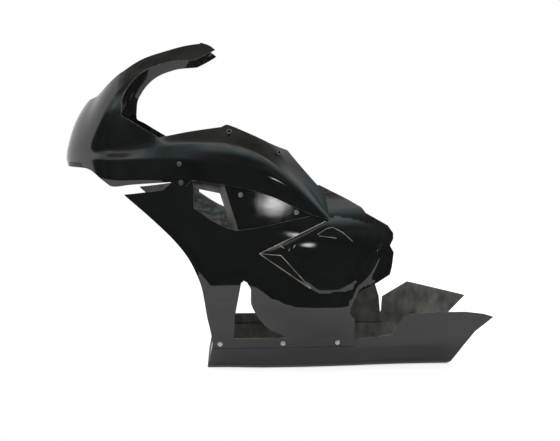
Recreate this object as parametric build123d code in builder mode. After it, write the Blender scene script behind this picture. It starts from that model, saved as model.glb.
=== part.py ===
import math
import os

from build123d import *

# Driving dimensions, millimetres
wall = 2.5
nose_axis_x = 440.0
cut_reach = 320.0
curved_points = 4
panel_waist = 206.0
panel_waist_z = 380.0
panel_lower_taper = 40.0
panel_root = 90.0
bulge_rise = 13.5
bulge_x = -110.0
bulge_z = 330.0
bulge_half_length = 172.0
bulge_half_height = 102.0
shoulder_foot_y = 204.0
shoulder_rise = 9.0
bevel_root_y = 186.0
bevel_face_y = 208.0
seam_z = 67.0
seam_lap = 24.0
seam_step = 3.0
lap_gap = 0.4
belly_height = 220.0
belly_tail_x = -203.0
belly_tail_pull = 12.0
belly_lap_right = -338.0
belly_front_half = 126.0
infill_face_y = 200.2
infill_rake_x = 0.035
infill_rake_z = 0.0235
infill_mid_z = 450.0
strut_in = 14.0
strut_lean = 17.0
stud_head_d = 11.0
stud_head_h = 2.4
stud_head_taper = 25.0
stud_slot = 1.4
stud_shank_d = 5.0
stud_tail = 3.0
washer_d = 13.5
washer_t = 1.0
clear_hole_d = 6.5
hole_depth = 12.0
receptacle_l = 24.0
receptacle_w = 12.0
receptacle_t = 1.2
seat_gap = 0.2
seam_grip = 2 * wall + 1.2
tab_crown = 1.1
blade_crown = 0.9
tab_grip = 2 * wall + 5.8
single_grip = wall + 0.4
bush_d = 14.0
bush_l = 16.0
bush_bore_d = 6.5
bush_y = 191.0
bush_points = [(142.0, 666.0), (8.0, 610.0)]
seam_points = [(170.0, 79.0), (-5.0, 79.0), (-158.0, 79.0)]
tab_points = [(271.0, 530.0)]
blade_points = [(275.0, 580.0)]
infill_points = [(112.0, 496.0), (-39.0, 447.0)]


def side_plane(x, side):
    """Section plane across the machine at x, local axes outward and up, side +1 left and -1 right."""
    return Plane(origin=(x, 0, 0), x_dir=(0, side, 0), z_dir=(side, 0, 0))


def nose_plane(angle):
    """Section plane turned about the nose axis, 0 at the left side, 90 at the centre, 180 at the right."""
    turn = math.radians(angle)
    return Plane(
        origin=(nose_axis_x, 0, 0),
        x_dir=(math.sin(turn), math.cos(turn), 0),
        z_dir=(math.cos(turn), -math.sin(turn), 0),
    )


def inner_line(points, depth):
    """Mitred copy of an outer section line, moved in by the wall."""
    count = len(points)
    normals = []
    for (ax, ay), (bx, by) in zip(points, points[1:]):
        length = math.hypot(bx - ax, by - ay)
        normals.append(((by - ay) / length, (ax - bx) / length))
    moved = []
    for i, (px, py) in enumerate(points):
        first = normals[max(i - 1, 0)]
        second = normals[min(i, count - 2)]
        mx = first[0] + second[0]
        my = first[1] + second[1]
        size = math.hypot(mx, my)
        reach = depth / max(0.5, (mx * first[0] + my * first[1]) / size)
        moved.append((px + mx / size * reach, py + my / size * reach))
    return moved


def wall_section(plane, outer, curved=0):
    """Closed wall section on a plane, from its outer line listed downward, its first points on a curve."""
    inner = inner_line(outer, wall)
    bend = max(curved - 1, 0)
    with BuildSketch(plane) as section:
        with BuildLine():
            if curved:
                Spline(*outer[:curved])
                Spline(*inner[:curved])
            Polyline(*outer[bend:])
            Polyline(*inner[bend:])
            Line(outer[0], inner[0])
            Line(outer[-1], inner[-1])
        make_face()
    return section.sketch


def panel_half_width(x, z):
    """Outer half-width of the side panels at a point of the side view."""
    rear = max(0.0, -x)
    lean = min(1.0, max(0.0, (60.0 - x) / 190.0))
    width = panel_waist - 8.0 * (rear / 350.0) ** 2 - 3.0 * (max(0.0, x) / 400.0) ** 2
    below = max(0.0, panel_waist_z - z)
    above = max(0.0, z - panel_waist_z)
    taper = 2.0 + 44.0 * lean * lean * (3.0 - 2.0 * lean)
    return width - panel_lower_taper * (below / 320.0) ** 2 - taper * (above / 150.0) ** 2


def bulge_half_width(x, z):
    """Outer half-width of the raised engine bulge, below the skin outside its footprint."""
    span = ((x - bulge_x) / bulge_half_length) ** 2 + ((z - bulge_z) / bulge_half_height) ** 2
    return panel_half_width(x, z) + bulge_rise * (1.0 - span)


def block_section(x, half_width, low, high, steps):
    """Filled section of a side skin at x, from the panel root out to its outer line."""
    heights = [high - (high - low) * i / steps for i in range(steps + 1)]
    line = [(half_width(x, z), z) for z in heights]
    with BuildSketch(side_plane(x, 1)) as section:
        with BuildLine():
            Spline(*line)
            Polyline(line[-1], (panel_root, low), (panel_root, high), line[0])
        make_face()
    return section.sketch


def shoulder_outline(y):
    """Bulge outline at lateral distance y, between its foot line and its crown line."""
    share = (y - shoulder_foot_y) / shoulder_rise
    return [(fx + (cx - fx) * share, fz + (cz - fz) * share) for (fx, fz), (cx, cz) in shoulder_lines]


def outline_face(y, points):
    """Flat face from side-view points, at lateral distance y."""
    with BuildSketch(Plane.XZ.offset(-y)) as flat:
        with BuildLine():
            Polyline(*points, close=True)
        make_face()
    return flat.sketch


def belly_half_width(x, z):
    """Outer half-width of the belly pan above the seam, drawn in toward the tail tips."""
    behind = max(0.0, belly_tail_x - x)
    return panel_half_width(x, z) - belly_tail_pull * (behind / 400.0) ** 2


def infill_half_width(x, z):
    """Outer half-width of the flat raked infill panels."""
    return infill_face_y + infill_rake_x * x + infill_rake_z * (z - infill_mid_z)


def cowl_half_width(x, z):
    """Outer half-width of the cowl, read between its side sections."""
    front = next(i for i, (station, line) in enumerate(cowl_side) if station >= x)
    (rear_x, rear_line), (front_x, front_line) = cowl_side[front - 1], cowl_side[front]
    share = (x - rear_x) / (front_x - rear_x)
    line = [(a + (c - a) * share, b + (d - b) * share) for (a, b), (c, d) in zip(rear_line, front_line)]
    below = next(i for i, (n, height) in enumerate(line) if height <= z)
    (top_n, top_z), (low_n, low_z) = line[below - 1], line[below]
    return low_n + (top_n - low_n) * (z - low_z) / (top_z - low_z)


def seat_plane(half_width, x, z):
    """Plane lying on a left-side surface at a point of the side view, facing outward."""
    slope_x = (half_width(x + 4.0, z) - half_width(x - 4.0, z)) / 8.0
    slope_z = (half_width(x, z + 4.0) - half_width(x, z - 4.0)) / 8.0
    return Plane(origin=(x, half_width(x, z), z), x_dir=(1, slope_x, 0), z_dir=(-slope_x, 1, -slope_z))


def twin_plane(plane):
    """Mirror image of a left-side seat plane, facing outward on the right side."""
    origin = plane.origin
    facing = plane.z_dir
    away = (facing.X, -facing.Y, facing.Z)
    return Plane(origin=(origin.X, -origin.Y, origin.Z), x_dir=(1, 0, 0), z_dir=away)


def panel_outline(rear):
    """Side-view outline of a side panel, with its own line behind the engine."""
    with BuildSketch(Plane.XZ) as outline:
        with BuildLine():
            Spline(*panel_front)
            Line(panel_front[-1], rear[0])
            Polyline(*rear)
            Polyline(*panel_ear)
            Polyline(*panel_shelf)
            Polyline(*panel_crease)
            Polyline(*panel_tab)
        make_face()
    return outline.sketch


def ledge_section(crease, rim):
    """Wall section of the recessed ledge, from the panel crease up to its inner rim."""
    across = Vector(*rim) - Vector(*crease)
    plane = Plane(origin=crease, x_dir=across, z_dir=across.cross(Vector(0, -1, -1)))
    with BuildSketch(plane) as section:
        with Locations((across.length / 2, wall / 2)):
            Rectangle(across.length, wall)
    return section.sketch


def belly_side(x, bottom, lap_end):
    """Half section of the belly pan at x, from the wall top down to the flat bottom."""
    inset = wall + lap_gap if x > lap_end else 0.0
    lap_top = seam_z + seam_lap
    low = seam_z - seam_step
    return [
        (belly_half_width(x, belly_height) - inset, belly_height),
        (belly_half_width(x, lap_top) - inset, lap_top),
        (belly_half_width(x, seam_z) - inset, seam_z - 0.3),
        (belly_half_width(x, low), low),
        (bottom + 10.0, 18.0),
        (bottom + 3.0, 5.0),
        (bottom - 8.0, 0.0),
    ]


def belly_section(x, bottom):
    """Closed wall section of the belly pan at x, left side first."""
    left = belly_side(x, bottom, belly_tail_x)
    right = belly_side(x, bottom, belly_lap_right)
    return wall_section(side_plane(x, 1), left + [(-n, z) for n, z in reversed(right)])


def belly_trim(top, reach):
    """Waste above the top line and behind the tail of one belly side, pulled out to that side."""
    with BuildSketch(Plane.XZ) as waste:
        with BuildLine():
            Polyline(*top, *belly_tail_edge, *belly_waste, (300, top[0][1]), close=True)
        make_face()
    return extrude(waste.sketch, amount=reach, mode=Mode.PRIVATE)


# Upper cowl: sections outward and up, three points of the surround, then ridge, wedge, lip crease, lip edge
cowl_side = [
    (-150, [(119, 677), (149, 617), (186, 487), (200, 411), (202, 396), (202, 382), (199, 370)]),
    (-105, [(115, 725), (145, 665), (182, 535), (204, 460), (208, 440), (207, 424), (204, 411)]),
    (-58, [(112, 775), (142, 715), (179, 585), (206, 511), (210, 482), (208, 450), (205, 436)]),
    (40, [(104, 850), (134, 790), (175, 660), (210, 594), (217, 545), (213, 494), (210, 480)]),
    (112, [(94, 905), (116, 855), (174, 690), (209, 628), (219, 572), (214, 515), (211, 500)]),
    (180, [(88, 912), (112, 866), (176, 690), (207, 641), (218, 585), (213, 530), (208, 515)]),
    (250, [(93, 905), (119, 861), (182, 680), (206, 640), (216, 590), (210, 540), (207, 516)]),
    (320, [(105, 882), (131, 854), (193, 660), (203, 633), (212, 592), (209, 545), (204, 516)]),
    (380, [(120, 857), (155, 820), (196, 682), (195, 624), (206, 592), (205, 543), (198, 513)]),
]
cowl_nose = [
    (0, [(134, 816), (174, 766), (190, 690), (187, 614), (199, 592), (200, 540), (191, 510)]),
    (40, [(112, 760), (142, 715), (164, 664), (171, 615), (177, 589), (172, 560), (164, 530)]),
    (90, [(101, 752), (126, 716), (149, 664), (166, 613), (167, 592), (160, 566), (152, 545)]),
]

# Upper cowl: side-view trim lines, x and z
horn_top = [(223, 914), (198, 905), (180, 892)]
horn_under = [(180, 892), (212, 874), (238, 862)]
cockpit_top = [(238, 862), (291, 861), (330, 856), (361, 848), (389, 829), (413, 799), (428, 764), (430, 722)]
cockpit_base = [(430, 722), (429, 709), (406, 695), (367, 671), (329, 649)]
flange_edge = [(329, 649), (250, 665), (162, 678)]
flange_lug = [(162, 678), (149, 684), (126, 677)]
flange_rear = [(126, 677), (71, 653), (18, 628), (-16, 615)]
flange_tail = [(-16, 615), (-35, 592), (-79, 541), (-118, 498)]
nose_base = [(660, 574), (600, 571), (528, 567), (514, 562), (463, 520), (452, 518), (410, 523), (300, 531)]
tab_pad = [(300, 531), (292, 529), (286, 521), (256, 521), (249, 531), (240, 536)]
blade_base = [(240, 536), (158, 524), (97, 512), (32, 493), (-44, 458), (-84, 440), (-128, 429)]

cowl_sections = [wall_section(side_plane(x, 1), line, curved_points) for x, line in cowl_side]
cowl_sections += [wall_section(nose_plane(turn), line, curved_points) for turn, line in cowl_nose]
for turn, line in cowl_nose[-2::-1]:
    cowl_sections.append(wall_section(nose_plane(180 - turn), line, curved_points))
for x, line in cowl_side[::-1]:
    cowl_sections.append(wall_section(side_plane(x, -1), line, curved_points))

seam_seats = [seat_plane(panel_half_width, x, z) for x, z in seam_points]
tab_seats = [seat_plane(cowl_half_width, x, z).offset(tab_crown) for x, z in tab_points]
blade_seats = [seat_plane(cowl_half_width, x, z).offset(blade_crown) for x, z in blade_points]
infill_seats = [seat_plane(infill_half_width, x, z) for x, z in infill_points]

with BuildPart() as upper_cowl:
    loft(cowl_sections)
    with BuildSketch(Plane.XZ):
        with BuildLine():
            Spline(*horn_top)
            Polyline(*horn_under)
            Spline(*cockpit_top)
            Polyline(*cockpit_base)
            Spline(*flange_edge)
            Polyline(*flange_lug)
            Spline(*flange_rear)
            Spline(*flange_tail)
            Polyline((-118, 498), (-130, 430), (-300, 430), (-300, 1000), (223, 1000), (223, 914))
        make_face()
    extrude(amount=cut_reach, both=True, mode=Mode.SUBTRACT)
    with BuildSketch(Plane.XZ):
        with BuildLine():
            Polyline(*nose_base)
            Polyline(*tab_pad)
            Spline(*blade_base)
            Polyline((-128, 429), (-133, 432), (-300, 432), (-300, 300), (660, 300), (660, 574))
        make_face()
    extrude(amount=cut_reach, both=True, mode=Mode.SUBTRACT)
    with BuildSketch(Plane.XZ):
        with Locations(*bush_points):
            Circle(bush_d / 2 + seat_gap)
    extrude(amount=cut_reach, both=True, mode=Mode.SUBTRACT)
    for seat in tab_seats + blade_seats:
        for plane in (seat, twin_plane(seat)):
            with BuildSketch(plane):
                Circle(clear_hole_d / 2)
            extrude(amount=hole_depth, both=True, mode=Mode.SUBTRACT)
upper_cowl.part.label = "upper_cowl"

# Side panels: side-view outline, x and z
panel_front = [(423, 496), (350, 431), (287, 368), (252, 321), (232, 280), (218, 239), (204, 154)]
panel_front += [(193, 100), (190, seam_z)]
panel_rear_left = [(belly_tail_x, seam_z), (-203, 146), (-190, 160), (-189, 172), (-199, 200), (-214, 225)]
panel_rear_left += [(-242, 240), (-261, 250)]
panel_rear_right = [(belly_lap_right, seam_z), (-333, 145), (-320, 190), (-302, 240), (-280, 252)]
panel_rear_right += [(-261, 250)]
panel_ear = [(-261, 250), (-298, 274), (-303, 296), (-307, 336), (-296, 355), (-305, 373), (-305, 389)]
panel_ear += [(-290, 410), (-230, 444), (-219, 459), (-183, 480), (-140, 502), (-120, 497), (-112, 488)]
panel_ear += [(-126, 436)]
panel_shelf = [(-126, 436), (-74, 436), (-40, 429), (69, 405), (122, 399)]
panel_crease = [(122, 399), (146, 405), (184, 423), (238, 461)]
panel_tab = [(238, 461), (239, 519), (242, 540), (292, 540), (294, 532), (320, 509), (371, 502), (423, 496)]
window_front = [(-24, 94), (133, 94), (130, 156), (112, 254), (104, 261), (95, 256)]
window_bulge = [(95, 256), (84, 233), (84, 202), (68, 162), (36, 124), (-24, 94)]
shoulder_lines = [
    ((62, 336), (3, 331)),
    ((9, 366), (-24, 350)),
    ((-73, 398), (-78, 385)),
    ((-125, 426), (-127, 418)),
    ((-200, 470), (-200, 466)),
    ((-330, 470), (-330, 466)),
    ((-330, 150), (-330, 154)),
    ((-90, 150), (-94, 154)),
    ((-81, 234), (-84, 233)),
]
bevel_root = [(466, 514), (429, 490), (356, 426), (293, 363), (257, 317), (237, 277), (223, 237)]
bevel_root += [(211, 164), (207, 100)]
bevel_face = [(440, 525), (404, 500), (333, 437), (269, 373), (235, 324), (216, 283), (203, 241)]
bevel_face += [(197, 168), (197, 100)]
skin_stations = [460, 380, 300, 220, 140, 60, -20, -100, -180, -260, -340, -420]
bulge_stations = [130, 70, 10, -50, -110, -170, -230, -290, -350]

with BuildPart() as bulge_block:
    loft([block_section(x, bulge_half_width, 120, 500, 7) for x in bulge_stations])
    loft([outline_face(y, shoulder_outline(y)) for y in (150.0, 220.0)], ruled=True, mode=Mode.INTERSECT)
with BuildPart() as panel_block:
    loft([block_section(x, panel_half_width, 40, 560, 7) for x in skin_stations])
    add(bulge_block.part)
    bevel_cut = []
    for y, line in ((bevel_root_y, bevel_root), (bevel_face_y, bevel_face)):
        with BuildSketch(Plane.XZ.offset(-y)) as bevel:
            with BuildLine():
                Spline(*line)
                Polyline(line[-1], (560, 100), (560, 600), line[0])
            make_face()
        bevel_cut.append(bevel.sketch)
    loft(bevel_cut, mode=Mode.SUBTRACT)
ledge_lines = [
    ((140, 204.4, 397), (154, 190, 458)),
    ((160, 204.4, 405), (172, 188, 468)),
    ((184, 204.4, 417), (196, 187, 481)),
    ((241, 203.4, 455), (238, 190, 508)),
]
with BuildPart() as panel_ledge:
    loft([ledge_section(crease, rim) for crease, rim in ledge_lines])
with BuildPart() as panel_skin:
    add(panel_block.part)
    add(panel_block.part.moved(Location((0, -wall, 0))), mode=Mode.SUBTRACT)
    with BuildSketch(Plane.XZ):
        with BuildLine():
            Polyline(*window_front)
            Spline(*window_bulge)
        make_face()
    extrude(amount=cut_reach, both=True, mode=Mode.SUBTRACT)
    for seat in seam_seats + tab_seats:
        with BuildSketch(seat):
            Circle(clear_hole_d / 2)
        extrude(amount=hole_depth, both=True, mode=Mode.SUBTRACT)

with BuildPart() as left_side_panel:
    add(panel_skin.part)
    extrude(panel_outline(panel_rear_left), amount=cut_reach, both=True, mode=Mode.INTERSECT)
    add(panel_ledge.part)
left_side_panel.part.label = "left_side_panel"

with BuildPart() as right_panel_flat:
    add(panel_skin.part)
    extrude(panel_outline(panel_rear_right), amount=cut_reach, both=True, mode=Mode.INTERSECT)
    add(panel_ledge.part)
with BuildPart() as right_side_panel:
    mirror(right_panel_flat.part, about=Plane.XZ)
right_side_panel.part.label = "right_side_panel"

# Infill panels: flat raked plate behind the blade and the panel shelf, with a strut turned in at the front
infill_outline = [(155, 522), (97, 526), (32, 507), (-44, 472), (-84, 455), (-110, 440), (-74, 424)]
infill_outline += [(-40, 417), (69, 391), (114, 388)]
infill_plane = seat_plane(infill_half_width, 0, infill_mid_z)

with BuildPart() as left_infill_panel:
    with BuildSketch(infill_plane):
        with BuildLine():
            placed = [Vector(x, infill_half_width(x, z), z) for x, z in infill_outline]
            flat = [infill_plane.to_local_coords(point) for point in placed]
            Polyline(*[(point.X, point.Y) for point in flat], close=True)
        make_face()
    extrude(amount=-wall)
    strut = []
    for x, z in (infill_outline[0], infill_outline[-1]):
        face_y = infill_half_width(x, z)
        with BuildSketch(Plane.XY.offset(z)) as section:
            with BuildLine():
                Polyline(
                    (x, face_y),
                    (x + strut_lean, face_y - strut_in),
                    (x + strut_lean - wall, face_y - strut_in - wall),
                    (x - 2 * wall, face_y - wall),
                    close=True,
                )
            make_face()
        strut.append(section.sketch)
    loft(strut)
    for seat in infill_seats:
        with BuildSketch(seat):
            Circle(clear_hole_d / 2)
        extrude(amount=hole_depth, both=True, mode=Mode.SUBTRACT)
left_infill_panel.part.label = "left_infill_panel"
with BuildPart() as right_infill_panel:
    mirror(left_infill_panel.part, about=Plane.XZ)
right_infill_panel.part.label = "right_infill_panel"

# Belly pan: stations with the half-width of the flat bottom, then the side-view trim lines
belly_stations = [(260, 124), (150, 128), (50, 139), (-60, 139), (-160, 134), (-200, 131), (-232, 128)]
belly_stations += [(-300, 122), (-335, 120), (-365, 119), (-430, 118), (-520, 118), (-640, 118)]
belly_tail_edge = [(-555, 100), (-524, 58), (-486, 0), (-474, -20)]
belly_waste = [(-700, -20), (-700, 300), (300, 300)]
belly_top_left = [(189, 91), (-196, 91), (-203, 86), (-313, 98), (-318, 110), (-345, 150), (-352, 155)]
belly_top_left += [(-412, 160), (-470, 160), (-521, 159), (-576, 151), (-607, 141)]
belly_top_right = [(189, 91), (-334, 91), (-340, 100), (-345, 144), (-425, 191), (-605, 150)]
belly_front = [(186, 100), (192, seam_z), (206, 0), (209, -20)]

with BuildPart() as belly_front_wall:
    with BuildSketch(side_plane(0, 1)):
        with BuildLine():
            half = belly_side(belly_front[1][0], belly_front_half, belly_tail_x)[2:]
            left_line = [(n - wall / 2, z) for n, z in half]
            Polyline(*left_line, *[(-n, z) for n, z in reversed(left_line)], close=True)
        make_face()
    extrude(amount=cut_reach)
    with BuildSketch(Plane.XZ):
        with BuildLine():
            Polyline(*belly_front, *[(x - wall, z) for x, z in reversed(belly_front)], close=True)
        make_face()
    extrude(amount=cut_reach, both=True, mode=Mode.INTERSECT)

with BuildPart() as belly_pan:
    loft([belly_section(x, bottom) for x, bottom in belly_stations], ruled=True)
    add(belly_trim(belly_top_left, -cut_reach), mode=Mode.SUBTRACT)
    add(belly_trim(belly_top_right, cut_reach), mode=Mode.SUBTRACT)
    with BuildSketch(Plane.XZ):
        with BuildLine():
            Polyline(*belly_front, (300, -20), (300, 100), close=True)
        make_face()
    extrude(amount=cut_reach, both=True, mode=Mode.SUBTRACT)
    for seat in seam_seats:
        for plane in (seat, twin_plane(seat)):
            with BuildSketch(plane):
                Circle(clear_hole_d / 2)
            extrude(amount=hole_depth, both=True, mode=Mode.SUBTRACT)
    add(belly_front_wall.part)
belly_pan.part.label = "belly_pan"

# Frame bushes: plain tubes across the top flange of the cowl
with BuildPart() as left_frame_bushes:
    with BuildSketch(Plane.XZ.offset(bush_l / 2 - bush_y)):
        with Locations(*bush_points):
            Circle(bush_d / 2)
            Circle(bush_bore_d / 2, mode=Mode.SUBTRACT)
    extrude(amount=-bush_l)
left_frame_bushes.part.label = "left_frame_bushes"
with BuildPart() as right_frame_bushes:
    mirror(left_frame_bushes.part, about=Plane.XZ)
right_frame_bushes.part.label = "right_frame_bushes"

os.makedirs("parts", exist_ok=True)
mouldings = (upper_cowl, left_side_panel, right_side_panel, left_infill_panel, right_infill_panel, belly_pan)
for piece in mouldings + (left_frame_bushes, right_frame_bushes):
    export_step(piece.part, f"parts/{piece.part.label}.step")

# Quarter-turn fasteners: slotted studs, washers under the heads, spring receptacles behind
fastener_sets = (
    ("seam", seam_seats, seam_grip),
    ("tab", tab_seats, tab_grip),
    ("blade", blade_seats, single_grip),
    ("infill", infill_seats, single_grip),
)
for set_name, seats, grip in fastener_sets:
    with BuildPart() as studs:
        for seat in seats:
            under_head = seat.offset(seat_gap + washer_t)
            with BuildSketch(under_head):
                Circle(stud_head_d / 2)
            extrude(amount=stud_head_h, taper=stud_head_taper)
            with BuildSketch(under_head):
                Circle(stud_shank_d / 2)
            extrude(amount=-(washer_t + grip + receptacle_t + stud_tail))
            with BuildSketch(under_head.offset(stud_head_h)):
                Rectangle(stud_head_d, stud_slot)
            extrude(amount=-stud_slot, mode=Mode.SUBTRACT)
    with BuildPart() as washers:
        for seat in seats:
            with BuildSketch(seat.offset(seat_gap)):
                Circle(washer_d / 2)
                Circle(clear_hole_d / 2, mode=Mode.SUBTRACT)
            extrude(amount=washer_t)
    with BuildPart() as receptacles:
        for seat in seats:
            with BuildSketch(seat.offset(-grip)):
                SlotOverall(receptacle_l, receptacle_w)
                Circle(stud_shank_d / 2 + seat_gap, mode=Mode.SUBTRACT)
            extrude(amount=-receptacle_t)
    for kind, left in (("studs", studs), ("washers", washers), ("receptacles", receptacles)):
        with BuildPart() as right:
            mirror(left.part, about=Plane.XZ)
        for side_name, piece in (("left", left), ("right", right)):
            piece.part.label = f"{side_name}_{set_name}_{kind}"
            export_step(piece.part, f"parts/{piece.part.label}.step")
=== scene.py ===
"""Glossy black race fairing set for a motorcycle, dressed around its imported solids."""

import logging
import math
from abc import ABC, abstractmethod
from dataclasses import dataclass, field
from enum import Enum
from typing import Callable

import bpy
import numpy as np
from mathutils import Matrix, Vector
from mathutils.geometry import delaunay_2d_cdt

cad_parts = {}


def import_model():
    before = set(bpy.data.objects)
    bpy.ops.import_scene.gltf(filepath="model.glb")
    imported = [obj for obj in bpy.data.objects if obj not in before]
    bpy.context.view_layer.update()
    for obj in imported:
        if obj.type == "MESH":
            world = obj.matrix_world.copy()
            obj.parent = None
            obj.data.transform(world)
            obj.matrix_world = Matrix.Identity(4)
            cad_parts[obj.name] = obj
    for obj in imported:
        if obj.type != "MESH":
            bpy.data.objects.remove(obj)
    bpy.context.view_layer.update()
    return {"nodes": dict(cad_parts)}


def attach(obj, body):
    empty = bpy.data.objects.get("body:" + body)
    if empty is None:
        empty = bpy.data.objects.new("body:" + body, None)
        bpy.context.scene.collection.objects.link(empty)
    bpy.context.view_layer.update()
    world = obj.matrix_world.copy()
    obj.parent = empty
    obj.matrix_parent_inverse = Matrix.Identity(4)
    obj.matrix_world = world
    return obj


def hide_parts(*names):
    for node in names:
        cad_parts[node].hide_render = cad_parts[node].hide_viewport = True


Array = np.ndarray
Lift = Callable[[Array, Array], Array]
Socket = bpy.types.NodeSocket
log = logging.getLogger("fairing")

# Sizes of mouldings are in millimetres, places in the studio in metres
MM = 0.001
WALL = 2.5
BEAD = 0.9
BEAD_STEPS = 6
NORMAL_STEP = 0.6
TINY = 1e-9
KNIT_MERGE = 1e-7

# Sockets of a mix node that mixes colours
MIX_FIRST_COLOUR = 6
MIX_SECOND_COLOUR = 7
MIX_RESULT_COLOUR = 2


class Side(Enum):
    """The two sides of the machine, with the sign of their lateral axis."""

    LEFT = 1
    RIGHT = -1

    @property
    def word(self) -> str:
        """Name of the side as used in node names."""
        return self.name.lower()


class Coat(Enum):
    """Finish slots of a moulding."""

    GLOSS = 0
    BARE = 1
    EDGE = 2
    BRUSHED = 3
    # Pale finish for the painted highlights on the side panel's bulge
    PAINTED_HIGHLIGHT = 4


class Block(Enum):
    """Blocks of faces that a wall is made of."""

    OUTER = 0
    INNER = 1


class CowlLine(Enum):
    """Lines that each section of the cowl lists, from the top down."""

    SCREEN = 0
    SURROUND = 1
    SHOULDER = 2
    RIDGE = 3
    WEDGE = 4
    CREASE = 5
    LIP = 6


# Curves and surfaces


def shape_curve(knots: Array, values: Array, at: Array) -> Array:
    """Cubic through knots that never overshoots them.

    Each span is a Hermite cubic whose end slopes are the harmonic mean of the neighbouring chords, or zero
    where the chords change sign.

    Args:
        knots: Rising positions of the known points.
        values: Value at each knot, one row a knot.
        at: Positions to read, inside the knots.

    Returns:
        One row of values for each position.
    """
    values = values.reshape(len(knots), -1)
    step = np.diff(knots)[:, None]
    chord = np.diff(values, axis=0) / step
    product = chord[:-1] * chord[1:]
    safe = np.where(product > 0, chord[:-1] + chord[1:], 1.0)
    inner = np.where(product > 0, 2.0 * product / safe, 0.0)
    slope = np.vstack([chord[:1], inner, chord[-1:]])
    span = np.clip(np.searchsorted(knots, at, side="right") - 1, 0, len(knots) - 2)
    width = step[span]
    t = ((at - knots[span]) / width[:, 0])[:, None]
    low, high = values[span], values[span + 1]
    cubic = (2 * t**3 - 3 * t**2 + 1) * low + (3 * t**2 - 2 * t**3) * high
    return cubic + (t**3 - 2 * t**2 + t) * width * slope[span] + (t**3 - t**2) * width * slope[span + 1]


def curve_through(points: tuple, pitch: float = 4.0) -> Array:
    """Smooth line through points, a non-overshooting cubic over chord length.

    Args:
        points: Points that the line passes, in order.
        pitch: Rough distance between the points of the result.

    Returns:
        Points of the line, one row each.
    """
    line = np.array(points, float)
    reach = np.concatenate([[0.0], np.cumsum(np.linalg.norm(np.diff(line, axis=0), axis=1))])
    count = max(2, int(reach[-1] / pitch) + 1)
    return shape_curve(reach, line, np.linspace(0.0, reach[-1], count))


def straight_through(points: tuple) -> Array:
    """Line with straight runs between its points."""
    return np.array(points, float)


def closed(loop: Array) -> Array:
    """Loop with its first point repeated at its end."""
    return np.vstack([loop, loop[:1]])


def divided(line: Array, pitch: float) -> Array:
    """Polyline with its corners kept and each run divided evenly, without its last point.

    Args:
        line: Corners, one row each.
        pitch: Longest step along a run.

    Returns:
        Points of the divided line.
    """
    runs = np.linalg.norm(np.diff(line, axis=0), axis=1)
    counts = np.maximum(1, np.ceil(runs / pitch).astype(int))
    start = np.repeat(line[:-1], counts, axis=0)
    stride = np.repeat(np.diff(line, axis=0) / counts[:, None], counts, axis=0)
    order = np.arange(counts.sum()) - np.repeat(np.cumsum(counts) - counts, counts)
    return start + stride * order[:, None]


def set_off(line: Array, shifts: tuple) -> list[Array]:
    """Copies of a line moved sideways.

    Args:
        line: Points of the line, one row each.
        shifts: Distance of each copy, to the right of the line where positive.

    Returns:
        One line for each shift.
    """
    run = np.gradient(line, axis=0)
    across = np.column_stack([run[:, 1], -run[:, 0]]) / np.linalg.norm(run, axis=1)[:, None]
    return [line + across * shift for shift in shifts]


def within(points: Array, loop: Array) -> Array:
    """Tells points inside a closed loop by counting edge crossings of a ray along the first axis.

    Args:
        points: Points to test, one row each.
        loop: Corners of the loop.

    Returns:
        True for each point that lies inside.
    """
    u, v = points.T
    a, b = loop, np.roll(loop, -1, axis=0)
    rise = np.where(b[:, 1] == a[:, 1], 1.0, b[:, 1] - a[:, 1])
    straddle = (a[:, 1][:, None] > v) != (b[:, 1][:, None] > v)
    cross_u = a[:, 0][:, None] + ((b[:, 0] - a[:, 0]) / rise)[:, None] * (v - a[:, 1][:, None])
    return (straddle & (u < cross_u)).sum(axis=0) % 2 == 1


def gap_to(points: Array, line: Array) -> Array:
    """Shortest distance from each point to a polyline.

    Args:
        points: Points to measure from, one row each.
        line: Corners of the polyline.

    Returns:
        One distance for each point.
    """
    a, run = line[:-1], np.diff(line, axis=0)
    length = np.maximum((run**2).sum(axis=1), TINY**2)
    offset = points[:, None, :] - a[None]
    share = np.clip((offset * run[None]).sum(axis=2) / length, 0.0, 1.0)
    return np.sqrt(((offset - share[..., None] * run[None]) ** 2).sum(axis=2)).min(axis=1)


def smooth_step(value: Array) -> Array:
    """Ease from 0 to 1 as a value goes from 0 to 1, with flat ends."""
    t = np.clip(value, 0.0, 1.0)
    return t * t * (3.0 - 2.0 * t)


def soft_min(a: Array, b: Array, blend: float) -> Array:
    """Lower of two heights, with the crease between them rounded over the blend height."""
    share = np.clip(0.5 + 0.5 * (b - a) / blend, 0.0, 1.0)
    return b + (a - b) * share - blend * share * (1.0 - share)


def square_fall(distance: Array, fall: float | Array, reach: float) -> Array:
    """Fall that grows as the square of a distance past zero and is whole at the reach."""
    return fall * (np.maximum(0.0, distance) / reach) ** 2


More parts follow.
